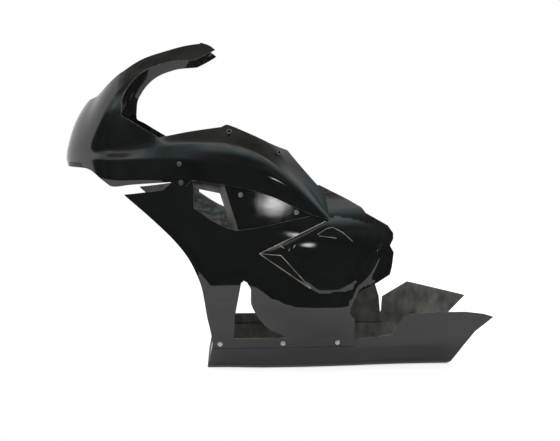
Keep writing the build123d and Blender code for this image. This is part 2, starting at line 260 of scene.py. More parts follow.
@dataclass(frozen=True)
class Plan:
    """Flat plan of a skin in its two parameters, in millimetres: outline, holes, crease lines and fine lines.

    The rooms are shares of the pitch: how far lines keep from an edge, and grid points from an edge or a
    line.
    """

    outline: Array
    holes: tuple = ()
    creases: tuple = ()
    pitch: float = 7.0
    fine: tuple = ()
    fine_pitch: float = 2.6
    closest: float = 0.7
    row_share: float = 0.866
    line_room: float = 0.3
    edge_room: float = 0.6
    crease_room: float = 0.45

    def tiles(self) -> tuple[Array, Array]:
        """Triangles over the plan, on a staggered grid fitted to its edges and creases.

        Returns:
            Plan points, one row each, and triangles as rows of three point numbers.
        """
        loops = [divided(closed(loop), self.pitch) for loop in (self.outline, *self.holes)]
        fine = [divided(line, self.fine_pitch) for line in self.fine]
        lines = self.spaced(fine + [divided(line, self.pitch) for line in self.creases])
        room = self.line_room * self.pitch
        lines = [line[self.holds(line) & (self.edge_gap(line, loops) > room)] for line in lines]
        chains = loops + lines
        starts = np.cumsum([0] + [len(chain) for chain in chains])
        edges = [
            np.column_stack([np.arange(len(loop)), np.roll(np.arange(len(loop)), -1)]) + start
            for loop, start in zip(loops, starts)
        ]
        points = np.vstack([*chains, self.grid(loops, lines)])
        corners = [Vector(point) for point in points.tolist()]
        knit = delaunay_2d_cdt(corners, np.vstack(edges).tolist(), [], 0, KNIT_MERGE, False)
        flat = np.array([tuple(point) for point in knit[0]])
        faces = np.array(knit[2])
        faces = faces[self.holds(flat[faces].mean(axis=1))]
        used, faces = np.unique(faces, return_inverse=True)
        return flat[used], faces.reshape(-1, 3)

    def grid(self, loops: list[Array], lines: list[Array]) -> Array:
        """Staggered grid points that keep clear of the edges and the lines.

        Args:
            loops: Divided edges of the plan.
            lines: Divided crease lines and fine lines.

        Returns:
            Grid points, one row each.
        """
        low, high = self.outline.min(axis=0), self.outline.max(axis=0)
        rows = np.arange(low[1], high[1], self.pitch * self.row_share)
        columns = np.arange(low[0], high[0], self.pitch)
        u, v = np.meshgrid(columns, rows)
        u = u + (np.arange(len(rows)) % 2)[:, None] * self.pitch / 2
        grid = np.column_stack([u.ravel(), v.ravel()])
        grid = grid[self.holds(grid)]
        grid = grid[self.edge_gap(grid, loops) > self.edge_room * self.pitch]
        for line in lines:
            if len(line) > 1:
                grid = grid[gap_to(grid, line) > self.crease_room * self.pitch]
        return grid

    def spaced(self, lines: list[Array]) -> list[Array]:
        """Thins out lines that crowd each other.

        Args:
            lines: Divided lines, the ones to keep whole first.

        Returns:
            The lines without the points that crowd an earlier line.
        """
        kept = lines[:1]
        for line in lines[1:]:
            offset = line[:, None, :] - np.vstack(kept)[None]
            kept.append(line[np.sqrt((offset**2).sum(axis=2)).min(axis=1) > self.closest])
        return kept

    def holds(self, points: Array) -> Array:
        """Tells points inside the outline and outside every hole.

        Args:
            points: Points to test, one row each.

        Returns:
            True for each point on the plan.
        """
        kept = within(points, self.outline)
        for hole in self.holes:
            kept &= ~within(points, hole)
        return kept

    def edge_gap(self, points: Array, loops: list[Array]) -> Array:
        """Distance of points to the nearest edge of the plan."""
        return np.min([gap_to(points, closed(loop)) for loop in loops], axis=0)


@dataclass
class Shell:
    """Closed wall of even thickness: outer face, inner face and a rounded rim."""

    points: Array
    normals: Array
    faces: list
    slots: list

    @classmethod
    def from_plan(cls, plan: Plan, lift: Lift, heart: tuple, wall: float = WALL) -> "Shell":
        """Wall over a plan, with normals from the slopes of the lift.

        Args:
            plan: Flat plan of the skin.
            lift: Places plan parameters in space, in millimetres.
            heart: A point well inside the set, which settles which face is outer.
            wall: Wall thickness in millimetres.

        Returns:
            The closed shell.
        """
        flat, tris = plan.tiles()
        u, v = flat.T
        outer = lift(u, v)
        along_u = lift(u + NORMAL_STEP, v) - lift(u - NORMAL_STEP, v)
        along_v = lift(u, v + NORMAL_STEP) - lift(u, v - NORMAL_STEP)
        normal = np.cross(along_u, along_v)
        normal /= np.linalg.norm(normal, axis=1)[:, None]
        if (normal * (outer - np.array(heart))).sum(axis=1).mean() < 0:
            normal = -normal
        facing = np.cross(outer[tris[:, 1]] - outer[tris[:, 0]], outer[tris[:, 2]] - outer[tris[:, 0]])
        turned = (facing * normal[tris].mean(axis=1)).sum(axis=1) < 0
        tris[turned] = tris[turned][:, ::-1]
        return cls.thicken(outer, normal, tris, wall)

    @classmethod
    def thicken(cls, outer: Array, normal: Array, tris: Array, wall: float) -> "Shell":
        """Adds the inner face and a half-round rim to an outer face.

        The rim at angle a is the mid-wall edge plus half the wall times cos a along the normal plus the
        bead times sin a away from the skin, for a from 0 to a half turn.

        Args:
            outer: Points of the outer face, one row each.
            normal: Unit normal at each point.
            tris: Triangles of the outer face, turned outward.
            wall: Wall thickness in millimetres.

        Returns:
            The closed shell.
        """
        count = len(outer)
        ends = np.vstack([tris[:, [0, 1]], tris[:, [1, 2]], tris[:, [2, 0]]])
        code = ends[:, 0].astype(np.int64) * count + ends[:, 1]
        back = ends[:, 1].astype(np.int64) * count + ends[:, 0]
        rim = ends[~np.isin(code, back)]
        run = outer[rim[:, 1]] - outer[rim[:, 0]]
        away_edge = np.cross(run, normal[rim[:, 0]])
        away = np.zeros_like(outer)
        np.add.at(away, rim[:, 0], away_edge)
        np.add.at(away, rim[:, 1], away_edge)
        edge_points, rim_index = np.unique(rim, return_inverse=True)
        first, second = rim_index.reshape(-1, 2).T
        away = away[edge_points]
        away /= np.maximum(np.linalg.norm(away, axis=1), TINY)[:, None]
        face = normal[edge_points]
        middle = outer[edge_points] - face * wall / 2
        angles = np.linspace(0.0, math.pi, BEAD_STEPS + 1)[1:-1]
        rings = [middle + face * (wall / 2 * math.cos(a)) + away * (BEAD * math.sin(a)) for a in angles]
        ring_normals = [face * math.cos(a) + away * math.sin(a) for a in angles]
        points = np.vstack([outer, outer - normal * wall, *rings])
        normals = np.vstack([normal, -normal, *ring_normals])
        size = len(edge_points)
        levels = [edge_points] + [2 * count + k * size + np.arange(size) for k in range(len(angles))]
        levels.append(edge_points + count)
        quads = np.vstack([
            np.column_stack([up[second], up[first], low[first], low[second]])
            for up, low in zip(levels, levels[1:])
        ])
        slots = [Coat.GLOSS.value, Coat.BARE.value, Coat.EDGE.value]
        return cls(points, normals, [tris, tris[:, ::-1] + count, quads], slots)

    def middles(self, block: Block) -> Array:
        """Middle of each face of a block."""
        return self.points[self.faces[block.value]].mean(axis=1)

    def finished(self, slots: Array | int, block: Block = Block.OUTER) -> "Shell":
        """Gives one block of faces other finishes.

        Args:
            slots: One slot for the block, or one for each of its faces.
            block: The block of faces.

        Returns:
            The shell with the new slots.
        """
        kept = list(self.slots)
        kept[block.value] = slots
        return Shell(self.points, self.normals, self.faces, kept)

    def joined(self, other: "Shell") -> "Shell":
        """Makes one mesh of two shells.

        Args:
            other: The shell to add.

        Returns:
            Both shells in one.
        """
        shift = len(self.points)
        return Shell(
            np.vstack([self.points, other.points]),
            np.vstack([self.normals, other.normals]),
            self.faces + [block + shift for block in other.faces],
            self.slots + other.slots,
        )

    def on_side(self, side: Side) -> "Shell":
        """Puts a shell made for the left on its own side, with its faces turned to stay outward.

        Args:
            side: The side that the shell is for.

        Returns:
            The shell itself for the left, or its mirror image for the right.
        """
        if side is Side.LEFT:
            return self
        flip = np.array([1.0, -1.0, 1.0])
        faces = [block[:, ::-1] for block in self.faces]
        return Shell(self.points * flip, self.normals * flip, faces, self.slots)

    def piece(self, name: str, materials: list[bpy.types.Material]) -> bpy.types.Object:
        """Mesh object of the shell, in metres, riding on the set.

        Args:
            name: Name of the piece.
            materials: Finishes in the order of the slots.

        Returns:
            The new object.
        """
        mesh = bpy.data.meshes.new(name)
        rows = [row for block in self.faces for row in block.tolist()]
        mesh.from_pydata((self.points * MM).tolist(), [], rows)
        finished = zip(self.faces, self.slots)
        slots = np.concatenate([np.broadcast_to(slot, len(block)) for block, slot in finished])
        mesh.polygons.foreach_set("material_index", slots.astype(np.int32))
        mesh.polygons.foreach_set("use_smooth", np.ones(len(rows), bool))
        mesh.update()
        mesh.normals_split_custom_set_from_vertices(self.normals.tolist())
        for material in materials:
            mesh.materials.append(material)
        thing = bpy.data.objects.new(name, mesh)
        bpy.context.scene.collection.objects.link(thing)
        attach(thing, "root")
        return thing


# Mouldings


class Moulding(ABC):
    """A moulding of the set, which builds its wall and dresses it."""

    @property
    @abstractmethod
    def node(self) -> str:
        """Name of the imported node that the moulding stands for."""

    @abstractmethod
    def build(self) -> Shell:
        """Closed wall of the moulding, in millimetres."""

    def dress(self, materials: list[bpy.types.Material]) -> bpy.types.Object:
        """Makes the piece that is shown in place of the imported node.

        Args:
            materials: Finishes in the order of the slots.

        Returns:
            The dressed piece.
        """
        piece = self.build().piece(f"{self.node}_skin", materials)
        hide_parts(self.node)
        log.info("%s: %d faces", piece.name, len(piece.data.polygons))
        return piece


@dataclass
class Cowl(Moulding):
    """Upper cowl: nose, screen surround with its two horns, and the blade that runs back over the side panel.

    Each section lists half width and height of the lines that CowlLine names. Side sections stand at a place
    along the machine, nose sections at an angle round the nose axis, and the outline runs are drawn in length
    along the skin and height.
    """

    nose_axis: float = 440.0
    nose_turn: float = 170.0
    crease_round: float = 3.0
    ridge_round: float = 9.0
    blade_round: float = 4.5
    round_spread: float = 1.6
    round_samples: int = 9
    blade_crown: float = 2.6
    blade_start: float = 270.0
    blade_ease: float = 120.0
    fairing_length: float = 16.0
    fairing_reach: float = 3.0
    fairing_pitch: float = 3.0
    rim_coat: float = 62.0
    edge_pitch: float = 4.0
    crease_pitch: float = 6.0
    ridge_lines: tuple = (-8.0, -4.0, 0.0, 4.0, 8.0)
    crease_lines: tuple = (-3.0, 0.0, 3.0)
    pitch: float = 5.5
    heart: tuple = (300.0, 0.0, 650.0)
    side_sections: tuple = (
        (-150, ((119, 677), (149, 617), (186, 487), (200, 411), (202, 396), (202, 380), (196, 370))),
        (-105, ((115, 725), (145, 665), (182, 535), (204, 460), (208, 440), (207, 421), (201, 411))),
        (-58, ((112, 775), (142, 715), (179, 585), (206, 511), (210, 482), (208, 447), (202, 436))),
        (40, ((104, 850), (134, 790), (175, 660), (210, 594), (217, 545), (213, 491), (206, 480))),
        (112, ((94, 905), (116, 855), (174, 690), (209, 628), (219, 572), (214, 512), (207.5, 500))),
        (180, ((88, 912), (112, 866), (176, 690), (207, 641), (218, 585), (213, 527), (205, 515))),
        (250, ((93, 905), (119, 861), (182, 680), (206, 640), (216, 590), (210, 540), (207, 516))),
        (320, ((105, 885), (131, 854), (193, 660), (203, 633), (212, 592), (209, 538), (198, 516))),
        (380, ((120, 863), (155, 820), (196, 682), (195, 624), (206, 592), (205, 538), (188, 513))),
    )
    nose_sections: tuple = (
        (0, ((134, 821), (174, 766), (190, 690), (187, 614), (199, 592), (200, 536), (182, 510))),
        (40, ((112, 760), (142, 715), (164, 664), (171, 615), (177, 589), (172, 555), (155, 530))),
        (90, ((101, 752), (126, 716), (149, 664), (165.2, 613), (166.2, 592), (160, 564), (147, 545))),
    )
    nose_base: tuple = ((707, 571), (620, 570), (560, 569), (530, 567), (513, 562), (461, 520))
    lip_base: tuple = ((461, 520), (451, 518), (410, 523), (300, 531))
    tab_base: tuple = ((300, 531), (292, 529), (286, 521), (256, 521), (249, 531), (240, 536))
    blade_base: tuple = ((240, 536), (158, 524), (97, 512), (32, 493), (-44, 458), (-84, 440), (-128, 429))
    tail_end: tuple = ((-128, 429), (-129, 432), (-118, 498))
    flange_tail: tuple = ((-118, 498), (-79, 541), (-35, 592), (-16, 615))
    flange_rear: tuple = ((-16, 615), (18, 628), (71, 653), (126, 677))
    flange_lug: tuple = ((126, 677), (149, 684), (162, 678))
    flange_front: tuple = ((162, 678), (250, 665), (329, 649))
    cockpit_base: tuple = ((329, 649), (367, 671), (406, 695), (429, 709), (430, 722))
    cockpit_top: tuple = (
        (430, 722), (426, 757), (410, 789), (386, 817), (358, 837), (328, 849), (291, 858), (238, 862),
    )
    horn_under: tuple = ((238, 862), (212, 874), (180, 892))
    horn_top: tuple = ((180, 892), (198, 905), (223, 913))
    middle: float = field(init=False)
    reach: Array = field(init=False, repr=False)
    faired: Array = field(init=False, repr=False)

    def __post_init__(self) -> None:
        """Fairs the section lines along the cowl, by a bell-shaped average over the fairing length."""
        self.middle = self.nose_axis + self.nose_turn * math.pi / 2
        knots = [station for station, _ in self.side_sections]
        knots += [self.nose_axis + self.nose_turn * math.radians(turn) for turn, _ in self.nose_sections]
        lines = [line for _, line in self.side_sections + self.nose_sections]
        values = np.array(lines, float).reshape(len(lines), -1)
        self.reach = np.arange(knots[0], self.middle, self.fairing_pitch)
        drawn = shape_curve(np.array(knots), values, np.clip(self.reach, knots[0], knots[-1]))
        half = int(self.fairing_reach * self.fairing_length / self.fairing_pitch)
        places = np.arange(-half, half + 1) * self.fairing_pitch
        kernel = np.exp(-0.5 * (places / self.fairing_length) ** 2)
        kernel /= kernel.sum()
        padded = np.vstack([2 * drawn[:1] - drawn[half:0:-1], drawn, drawn[-2 : -half - 2 : -1]])
        self.faired = np.column_stack([np.convolve(column, kernel, mode="valid") for column in padded.T])

    @property
    def node(self) -> str:
        """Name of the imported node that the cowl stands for."""
        return "upper_cowl"

    def line_at(self, along: Array, line: CowlLine) -> tuple[Array, Array]:
        """Faired half width and height of a section line at positions along the cowl."""
        width, height = self.faired[:, 2 * line.value], self.faired[:, 2 * line.value + 1]
        return np.interp(along, self.reach, width), np.interp(along, self.reach, height)

    def folded(self, along: Array) -> Array:
        """Positions along the cowl with those past its middle folded back on to the left."""
        return self.middle - np.abs(along - self.middle)

    def blade_share(self, along: Array) -> Array:
        """How far a place belongs to the blade: 0 at the nose, 1 behind the tab."""
        return smooth_step((self.blade_start - along) / self.blade_ease)

    def upper(self, along: Array, height: Array) -> Array:
        """Half width above the ridge: the cubic in height through the four upper section points.

        Args:
            along: Positions along the cowl.
            height: Height at each position.

        Returns:
            One half width for each position.
        """
        lines = (CowlLine.SCREEN, CowlLine.SURROUND, CowlLine.SHOULDER, CowlLine.RIDGE)
        known = [self.line_at(along, line) for line in lines]
        width = np.zeros_like(height)
        for own, (value, place) in enumerate(known):
            share = np.ones_like(height)
            for other, (_, rival) in enumerate(known):
                if other != own:
                    share = share * (height - rival) / (place - rival)
            width = width + value * share
        return width

    def lower(self, along: Array, height: Array) -> Array:
        """Half width below the ridge: straight from each crease line to the next, constant past the last.

        The blade also has a crown, a parabola between the ridge and the wedge.

        Args:
            along: Positions along the cowl.
            height: Height at each position.

        Returns:
            One half width for each position.
        """
        before, top = self.line_at(along, CowlLine.RIDGE)
        _, wedge = self.line_at(along, CowlLine.WEDGE)
        across = np.clip((top - height) / (top - wedge), 0.0, 1.0)
        width = before + 4.0 * self.blade_crown * self.blade_share(along) * across * (1.0 - across)
        for line in (CowlLine.WEDGE, CowlLine.CREASE, CowlLine.LIP):
            after, foot = self.line_at(along, line)
            share = np.clip((top - height) / np.maximum(top - foot, TINY), 0.0, 1.0)
            width = width + (after - before) * share
            before, top = after, foot
        return width

    def raw_width(self, along: Array, height: Array) -> Array:
        """Half width with sharp creases."""
        _, ridge = self.line_at(along, CowlLine.RIDGE)
        return np.where(height > ridge, self.upper(along, height), self.lower(along, height))

    def lift(self, along: Array, height: Array) -> Array:
        """Points of the outer face: half width across the flanks, radius about the nose axis round the nose.

        The half width is averaged over a band of height, which rounds every crease, most at the ridge ahead
        of the blade.

        Args:
            along: Positions along the cowl, from the left tail round the nose to the right tail.
            height: Height at each position.

        Returns:
            One point for each position.
        """
        folded = self.folded(along)
        _, ridge = self.line_at(folded, CowlLine.RIDGE)
        wide = self.ridge_round + (self.blade_round - self.ridge_round) * self.blade_share(folded)
        near = np.exp(-0.5 * ((height - ridge) / (self.round_spread * wide)) ** 2)
        band = self.crease_round + (wide - self.crease_round) * near
        steps = np.linspace(-1.0, 1.0, self.round_samples)
        width = np.mean([self.raw_width(folded, height + band * step) for step in steps], axis=0)
        angle = np.maximum(folded - self.nose_axis, 0.0) / self.nose_turn
        x = np.minimum(folded, self.nose_axis) + width * np.sin(angle)
        y = np.where(along <= self.middle, 1.0, -1.0) * width * np.cos(angle)
        return np.column_stack([x, y, height])

    def screen_edge(self) -> Array:
        """Top edge of the surround from the horn to the middle of the nose.

        Returns:
            Points of the edge in length along the skin and height.
        """
        horn = float(self.horn_top[-1][0])
        along = np.append(np.arange(horn, self.middle - self.edge_pitch / 2, self.edge_pitch), self.middle)
        _, height = self.line_at(along, CowlLine.SCREEN)
        return np.column_stack([along, height])

    def opening(self) -> list[Array]:
        """Edge of the opening behind the screen, as three smooth runs."""
        return [curve_through(run) for run in (self.cockpit_base, self.cockpit_top, self.horn_under)]

    def plan(self) -> Plan:
        """Plan of the whole cowl, unrolled round the nose, with its crease lines.

        Returns:
            The plan in length along the skin and height.
        """
        runs = [
            curve_through(self.nose_base), curve_through(self.lip_base), straight_through(self.tab_base),
            curve_through(self.blade_base), straight_through(self.tail_end), curve_through(self.flange_tail),
            curve_through(self.flange_rear), curve_through(self.flange_lug), curve_through(self.flange_front),
            *self.opening(), curve_through(self.horn_top), self.screen_edge(),
        ]
        half = np.vstack([run[:-1] for run in runs] + [runs[-1][-1:]])
        half[0, 0] = half[-1, 0] = self.middle
        twin = half[-2:0:-1] * np.array([-1.0, 1.0]) + np.array([2 * self.middle, 0.0])
        start = float(self.side_sections[0][0])
        whole = np.arange(start, 2 * self.middle - start, self.crease_pitch)
        bands = {
            CowlLine.RIDGE: self.ridge_lines,
            CowlLine.WEDGE: self.crease_lines,
            CowlLine.CREASE: self.crease_lines,
        }
        creases = [
            np.column_stack([whole, self.line_at(self.folded(whole), line)[1] + shift])
            for line, shifts in bands.items()
            for shift in shifts
        ]
        return Plan(np.vstack([half, twin]), creases=tuple(creases), pitch=self.pitch)

    def build(self) -> Shell:
        """Closed wall of the cowl, with the gloss coat carried over the opening's rim on to the inner face.

        Returns:
            The shell.
        """
        shell = Shell.from_plan(self.plan(), self.lift, self.heart)
        middles = shell.middles(Block.INNER)[:, [0, 2]]
        coated = gap_to(middles, np.vstack(self.opening())) < self.rim_coat
        return shell.finished(np.where(coated, Coat.GLOSS.value, Coat.BARE.value), Block.INNER)


@dataclass
class SidePanel(Moulding):
    """Side panel with its window, faceted bulge, front bevel and the ledge under the infill's strut.

    Outline runs, lines and places are drawn in length along the machine and height. A fall is how far the
    panel draws in and over what distance, an ease is where a change starts and over what distance.
    """

    side: Side
    waist: float = 206.0
    waist_height: float = 380.0
    rear_fall: tuple = (8.0, 350.0)
    front_fall: tuple = (3.0, 400.0)
    lower_fall: tuple = (40.0, 320.0)
    upper_falls: tuple = (2.0, 44.0)
    upper_reach: float = 150.0
    lean_ease: tuple = (60.0, 190.0)
    bevel_width: float = 15.0
    bevel_drop: float = 5.0
    bevel_blend: float = 3.0
    bevel_pitches: tuple = (12.0, 8.0)
    bulge_rise: float = 8.0
    bulge_centre: tuple = (-110.0, 330.0)
    bulge_half: tuple = (215.0, 107.0)
    spear_tip: tuple = (62.0, 336.0)
    spear_crown: tuple = (3.0, 331.0)
    spear_low: tuple = (-81.0, 234.0)
    spear_high: tuple = (-125.0, 426.0)
    facet_rise: float = 6.2
    facet_blend: float = 1.2
    upper_facet: tuple = ((-125, 6), (-78, 8), (-24, 10), (3, 12))
    lobe_span: tuple = (95.0, 182.0, 330.0)
    lobe_lean: float = 0.04
    lobe_window_ease: float = 110.0
    lobe_rear_ease: tuple = (-215.0, 60.0)
    window_pitch: float = 8.0
    leg_tuck: tuple = ((-50, 195, 0.0), (30, 245, 3.6), (95, 292, 5.2))
    tuck_ease: float = 88.0
    tuck_seam_ease: tuple = (92.0, 75.0)
    crinkle: float = 0.4
    crinkle_length: float = 29.0
    crinkle_lean: float = 0.2
    crinkle_wander: tuple = (10.0, 27.0)
    crinkle_patch: tuple = (40.0, 19.0)
    crinkle_fine: tuple = (0.7, 8.3)
    crinkle_rear_ease: tuple = (-160.0, 60.0)
    crinkle_low_ease: tuple = (240.0, 40.0)
    crinkle_high_ease: tuple = (425.0, 60.0)
    roll_rise: float = 2.2
    roll_half: float = 5.0
    roll_pitch: float = 6.0
    roll_lines: tuple = (0.0, 2.5, -2.5, 5.0, -5.0, 8.0, -8.0)
    roll_line: tuple = (
        (-272, 352), (-266, 330), (-252, 296), (-234, 266), (-212, 244), (-201, 226), (-194, 204),
    )
    front: tuple = (
        (423, 496), (350, 431), (287, 368), (252, 321), (232, 280), (218, 239), (204, 154), (193, 100),
        (190, 67),
    )
    left_low: tuple = (
        (190, 67), (-203, 67), (-203, 146), (-190, 160), (-189, 172), (-199, 200), (-214, 225), (-242, 240),
        (-261, 250),
    )
    right_low: tuple = (
        (190, 67), (-338, 67), (-333, 145), (-320, 190), (-302, 240), (-280, 252), (-261, 250),
    )
    ear: tuple = (
        (-261, 250), (-298, 274), (-303, 296), (-307, 336), (-296, 355), (-305, 373), (-305, 389),
        (-290, 410),
    )
    ear_top: tuple = (
        (-290, 410), (-230, 444), (-219, 459), (-183, 480), (-140, 502), (-120, 497), (-112, 488),
        (-126, 436),
    )
    shelf: tuple = ((-126, 436), (-74, 436), (-40, 429), (69, 405), (122, 399))
    crease: tuple = ((122, 399), (146, 405), (184, 423), (238, 461))
    tab: tuple = (
        (238, 461), (239, 519), (242, 540), (292, 540), (294, 532), (320, 509), (371, 502), (423, 496),
    )
    window_front: tuple = ((-24, 94), (133, 94), (130, 156), (112, 254), (104, 261), (95, 256))
    window_bulge: tuple = ((95, 256), (84, 233), (84, 202), (68, 162), (36, 124), (-24, 94))
    # Painted highlights: pale strips along the bulge's facet edges and over its crown, painted glints of
    # light; their half width, margin, pitch and lines
    highlight_half: float = 1.0
    highlight_margin: float = 1.02
    highlight_pitch: float = 6.0
    painted_highlights: tuple = (
        ((62, 336), (-125, 426)),
        ((62, 336), (3, 331), (-83, 234)),
        ((62, 336), (-83, 234)),
        ((7, 359), (-9, 349)),
        ((-96, 388), (-120, 403), (-138, 407), (-165, 393), (-197, 364)),
        ((-99, 384), (-122, 381), (-152, 377)),
        ((-17, 343), (-23, 356)),
        ((-31, 352), (-38, 365)),
    )
    ledge_share: float = 1.0
    ledge_size: tuple = (120.0, 60.0)
    ledge_line_pitch: float = 6.0
    ledge_pitch: float = 7.0
    ledge_heart: tuple = (150.0, 0.0, 300.0)
    ledge_crease: tuple = ((140, 204.4, 397), (160, 204.4, 405), (184, 204.4, 417), (241, 203.4, 455))
    ledge_rim: tuple = ((154, 190, 458), (172, 188, 468), (196, 187, 481), (238, 190, 508))
    pitch: float = 5.5
    heart: tuple = (0.0, 0.0, 300.0)

    @property
    def node(self) -> str:
        """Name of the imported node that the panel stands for."""
        return f"{self.side.word}_side_panel"

    @staticmethod
    def eased(value: Array, ease: tuple) -> Array:
        """Ease from 0 to 1 as a value rises from the start of an ease over its distance."""
        return smooth_step((value - ease[0]) / ease[1])

    @staticmethod
    def eased_down(value: Array, ease: tuple) -> Array:
        """Ease from 0 to 1 as a value sinks from the start of an ease over its distance."""
        return smooth_step((ease[0] - value) / ease[1])

    @staticmethod
    def side_of(x: Array, z: Array, start: Array, end: Array) -> Array:
        """Signed distance to the left of the line from start to end."""
        run = (end - start) / np.linalg.norm(end - start)
        return run[0] * (z - start[1]) - run[1] * (x - start[0])

    def flank(self, x: Array, z: Array) -> Array:
        """Half width of the plain panel: a waist that falls away as squares fore, aft, below and above.

        Args:
            x: Places along the machine.
            z: Height at each place.

        Returns:
            One half width for each place.
        """
        plain, leaning = self.upper_falls
        upper = plain + leaning * self.eased_down(x, self.lean_ease)
        width = self.waist - square_fall(-x, *self.rear_fall) - square_fall(x, *self.front_fall)
        width = width - square_fall(self.waist_height - z, *self.lower_fall)
        return width - square_fall(z - self.waist_height, upper, self.upper_reach)

    def spear(self, x: Array, z: Array) -> Array:
        """Rise of the bulge: a low dome cut by an upper and a lower facet that meet in a spear tip.

        The dome is a paraboloid. The lower facet is a plane from the line between tip and low point up to the
        crown, and the upper facet a plane from the line between tip and high point, over its own width.

        Args:
            x: Places along the machine.
            z: Height at each place.

        Returns:
            One rise for each place, never below zero.
        """
        places = (self.spear_tip, self.spear_low, self.spear_high, self.spear_crown)
        tip, low, high, crown = (np.array(place) for place in places)
        dome = self.bulge_rise * (
            1.0 - ((x - self.bulge_centre[0]) / self.bulge_half[0]) ** 2
            - ((z - self.bulge_centre[1]) / self.bulge_half[1]) ** 2
        )
        under = self.side_of(x, z, low, tip) / self.side_of(crown[0], crown[1], low, tip)
        stations, widths = np.array(self.upper_facet, float).T
        over = self.side_of(x, z, tip, high) / np.interp(x, stations, widths)
        rise = soft_min(dome, self.facet_rise * under, self.facet_blend)
        rise = soft_min(rise, self.facet_rise * over, self.facet_blend)
        return np.maximum(rise, 0.0)

    def lobe(self, x: Array, z: Array) -> Array:
        """Fullness under the bulge, which dies out at the window and the rear.

        Between its roll and its top it holds the panel to a steady small lean instead of the flank's fall.
        Below the roll it eases back to the flank at the seam as a parabola.

        Args:
            x: Places along the machine.
            z: Height at each place.

        Returns:
            One rise for each place.
        """
        seam, roll, top = self.lobe_span
        held = np.clip(z, roll, top)
        fall = square_fall(self.waist_height - held, *self.lower_fall)
        fall = fall - square_fall(self.waist_height - top, *self.lower_fall)
        full = fall - self.lobe_lean * (top - held)
        under = np.clip((z - seam) / (roll - seam), 0.0, 1.0)
        hoop = curve_through(self.window_bulge, self.window_pitch)
        behind = np.where(x < np.interp(z, hoop[::-1, 1], hoop[::-1, 0]), 1.0, 0.0)
        ahead = smooth_step(gap_to(np.column_stack([x, z]), hoop) / self.lobe_window_ease) * behind
        return full * under * (2.0 - under) * ahead * self.eased(x, self.lobe_rear_ease)

    def tuck(self, x: Array, z: Array) -> Array:
        """Set-back of the leg and of the panel round the window.

        It is eased in below a shoulder and out again at the seam. The shoulder falls and the set-back shrinks
        to nothing behind the window.

        Args:
            x: Places along the machine.
            z: Height at each place.

        Returns:
            One set-back for each place.
        """
        places, shoulders, depths = np.array(self.leg_tuck, float).T
        shoulder = np.interp(x, places, shoulders)
        down = smooth_step((shoulder - z) / self.tuck_ease) * self.eased(z, self.tuck_seam_ease)
        return np.interp(x, places, depths) * down

    def roll(self, x: Array, z: Array) -> Array:
        """Rounded bead that stiffens the rear lower edge: a bell over the distance to its line."""
        gap = gap_to(np.column_stack([x, z]), curve_through(self.roll_line, self.roll_pitch))
        return self.roll_rise * np.exp(-((gap / self.roll_half) ** 2))

    def ripples(self, x: Array, z: Array) -> Array:
        """Slight waves of the laminate behind the bulge, running up and down the ear.

        Sines along a line that wanders with the height, broken up by a slower cosine, plus finer sines.

        Args:
            x: Places along the machine.
            z: Height at each place.

        Returns:
            One rise for each place.
        """
        fade = self.eased_down(x, self.crinkle_rear_ease) * self.eased(z, self.crinkle_low_ease)
        fade = fade * self.eased_down(z, self.crinkle_high_ease)
        sway, sway_length = self.crinkle_wander
        bend = x + sway * np.sin(z / sway_length) + self.crinkle_lean * z
        patch = np.cos(z / self.crinkle_patch[1] + x / self.crinkle_patch[0])
        wave = np.sin(2 * np.pi * bend / self.crinkle_length) * patch
        share, length = self.crinkle_fine
        return self.crinkle * fade * (wave + share * np.sin(bend / length))

    def lift(self, x: Array, z: Array) -> Array:
        """Outer face: flank, bulge, lobe, bead and ripples less the tuck, cut back by the bevel in front.

        Args:
            x: Places along the machine.
            z: Height at each place.

        Returns:
            One point for each place.
        """
        base = self.flank(x, z) - self.tuck(x, z)
        width = base + self.spear(x, z) + self.lobe(x, z) + self.ripples(x, z) + self.roll(x, z)
        gap = gap_to(np.column_stack([x, z]), curve_through(self.front, self.bevel_pitches[0]))
        bevel = base - self.bevel_drop * (1.0 - gap / self.bevel_width)
        return np.column_stack([x, soft_min(width, bevel, self.bevel_blend), z])

    def plan(self) -> Plan:
        """Plan of the panel with its window and the lines of its facets, bevel, bead and painted highlights.

        Returns:
            The plan in length along the machine and height.
        """
        runs = [
            curve_through(self.front),
            straight_through(self.left_low if self.side is Side.LEFT else self.right_low),
            straight_through(self.ear), straight_through(self.ear_top), straight_through(self.shelf),
            curve_through(self.crease), straight_through(self.tab),
        ]
        outline = np.vstack([run[:-1] for run in runs])
        window = np.vstack([straight_through(self.window_front)[:-1], curve_through(self.window_bulge)[:-1]])
        edges = tuple(self.bevel_width + shift for shift in (-self.bevel_blend, 0.0, self.bevel_blend))
        bevels = set_off(curve_through(self.front, self.bevel_pitches[1]), edges)
        facets = [
            np.array([self.spear_tip, self.spear_high]), np.array([self.spear_tip, self.spear_low]),
            np.array([self.spear_tip, self.spear_crown, self.spear_low]),
        ]
        rolls = set_off(curve_through(self.roll_line, self.roll_pitch), self.roll_lines)
        # Lines of the painted highlights, so that their faces can take the pale finish
        painted_highlights = [line for bundle in self.highlight_lines() for line in bundle]
        return Plan(outline, (window,), (*bevels, *facets, *rolls), self.pitch, tuple(painted_highlights))

    def highlight_lines(self) -> list[list[Array]]:
        """Lines of the painted highlights, on the side that has them.

        Returns:
            Middle, right and left line of each painted highlight.
        """
        if self.side is not Side.LEFT:
            return []
        lines = [divided(straight_through(scuff), self.highlight_pitch) for scuff in self.painted_highlights]
        return [set_off(line, (0.0, self.highlight_half, -self.highlight_half)) for line in lines]

    def highlighted(self, shell: Shell) -> Array:
        """Finish slots of the outer face, with painted highlights along the lines: pale strips that stand for
        glints of light on the bulge's facet edges and crown.

        Args:
            shell: Wall of the panel.

        Returns:
            One slot for each outer face.
        """
        middles = shell.middles(Block.OUTER)[:, [0, 2]]
        highlit = np.zeros(len(middles), bool)
        for middle, *_ in self.highlight_lines():
            highlit |= gap_to(middles, middle) < self.highlight_margin * self.highlight_half
        return np.where(highlit, Coat.PAINTED_HIGHLIGHT.value, Coat.GLOSS.value)

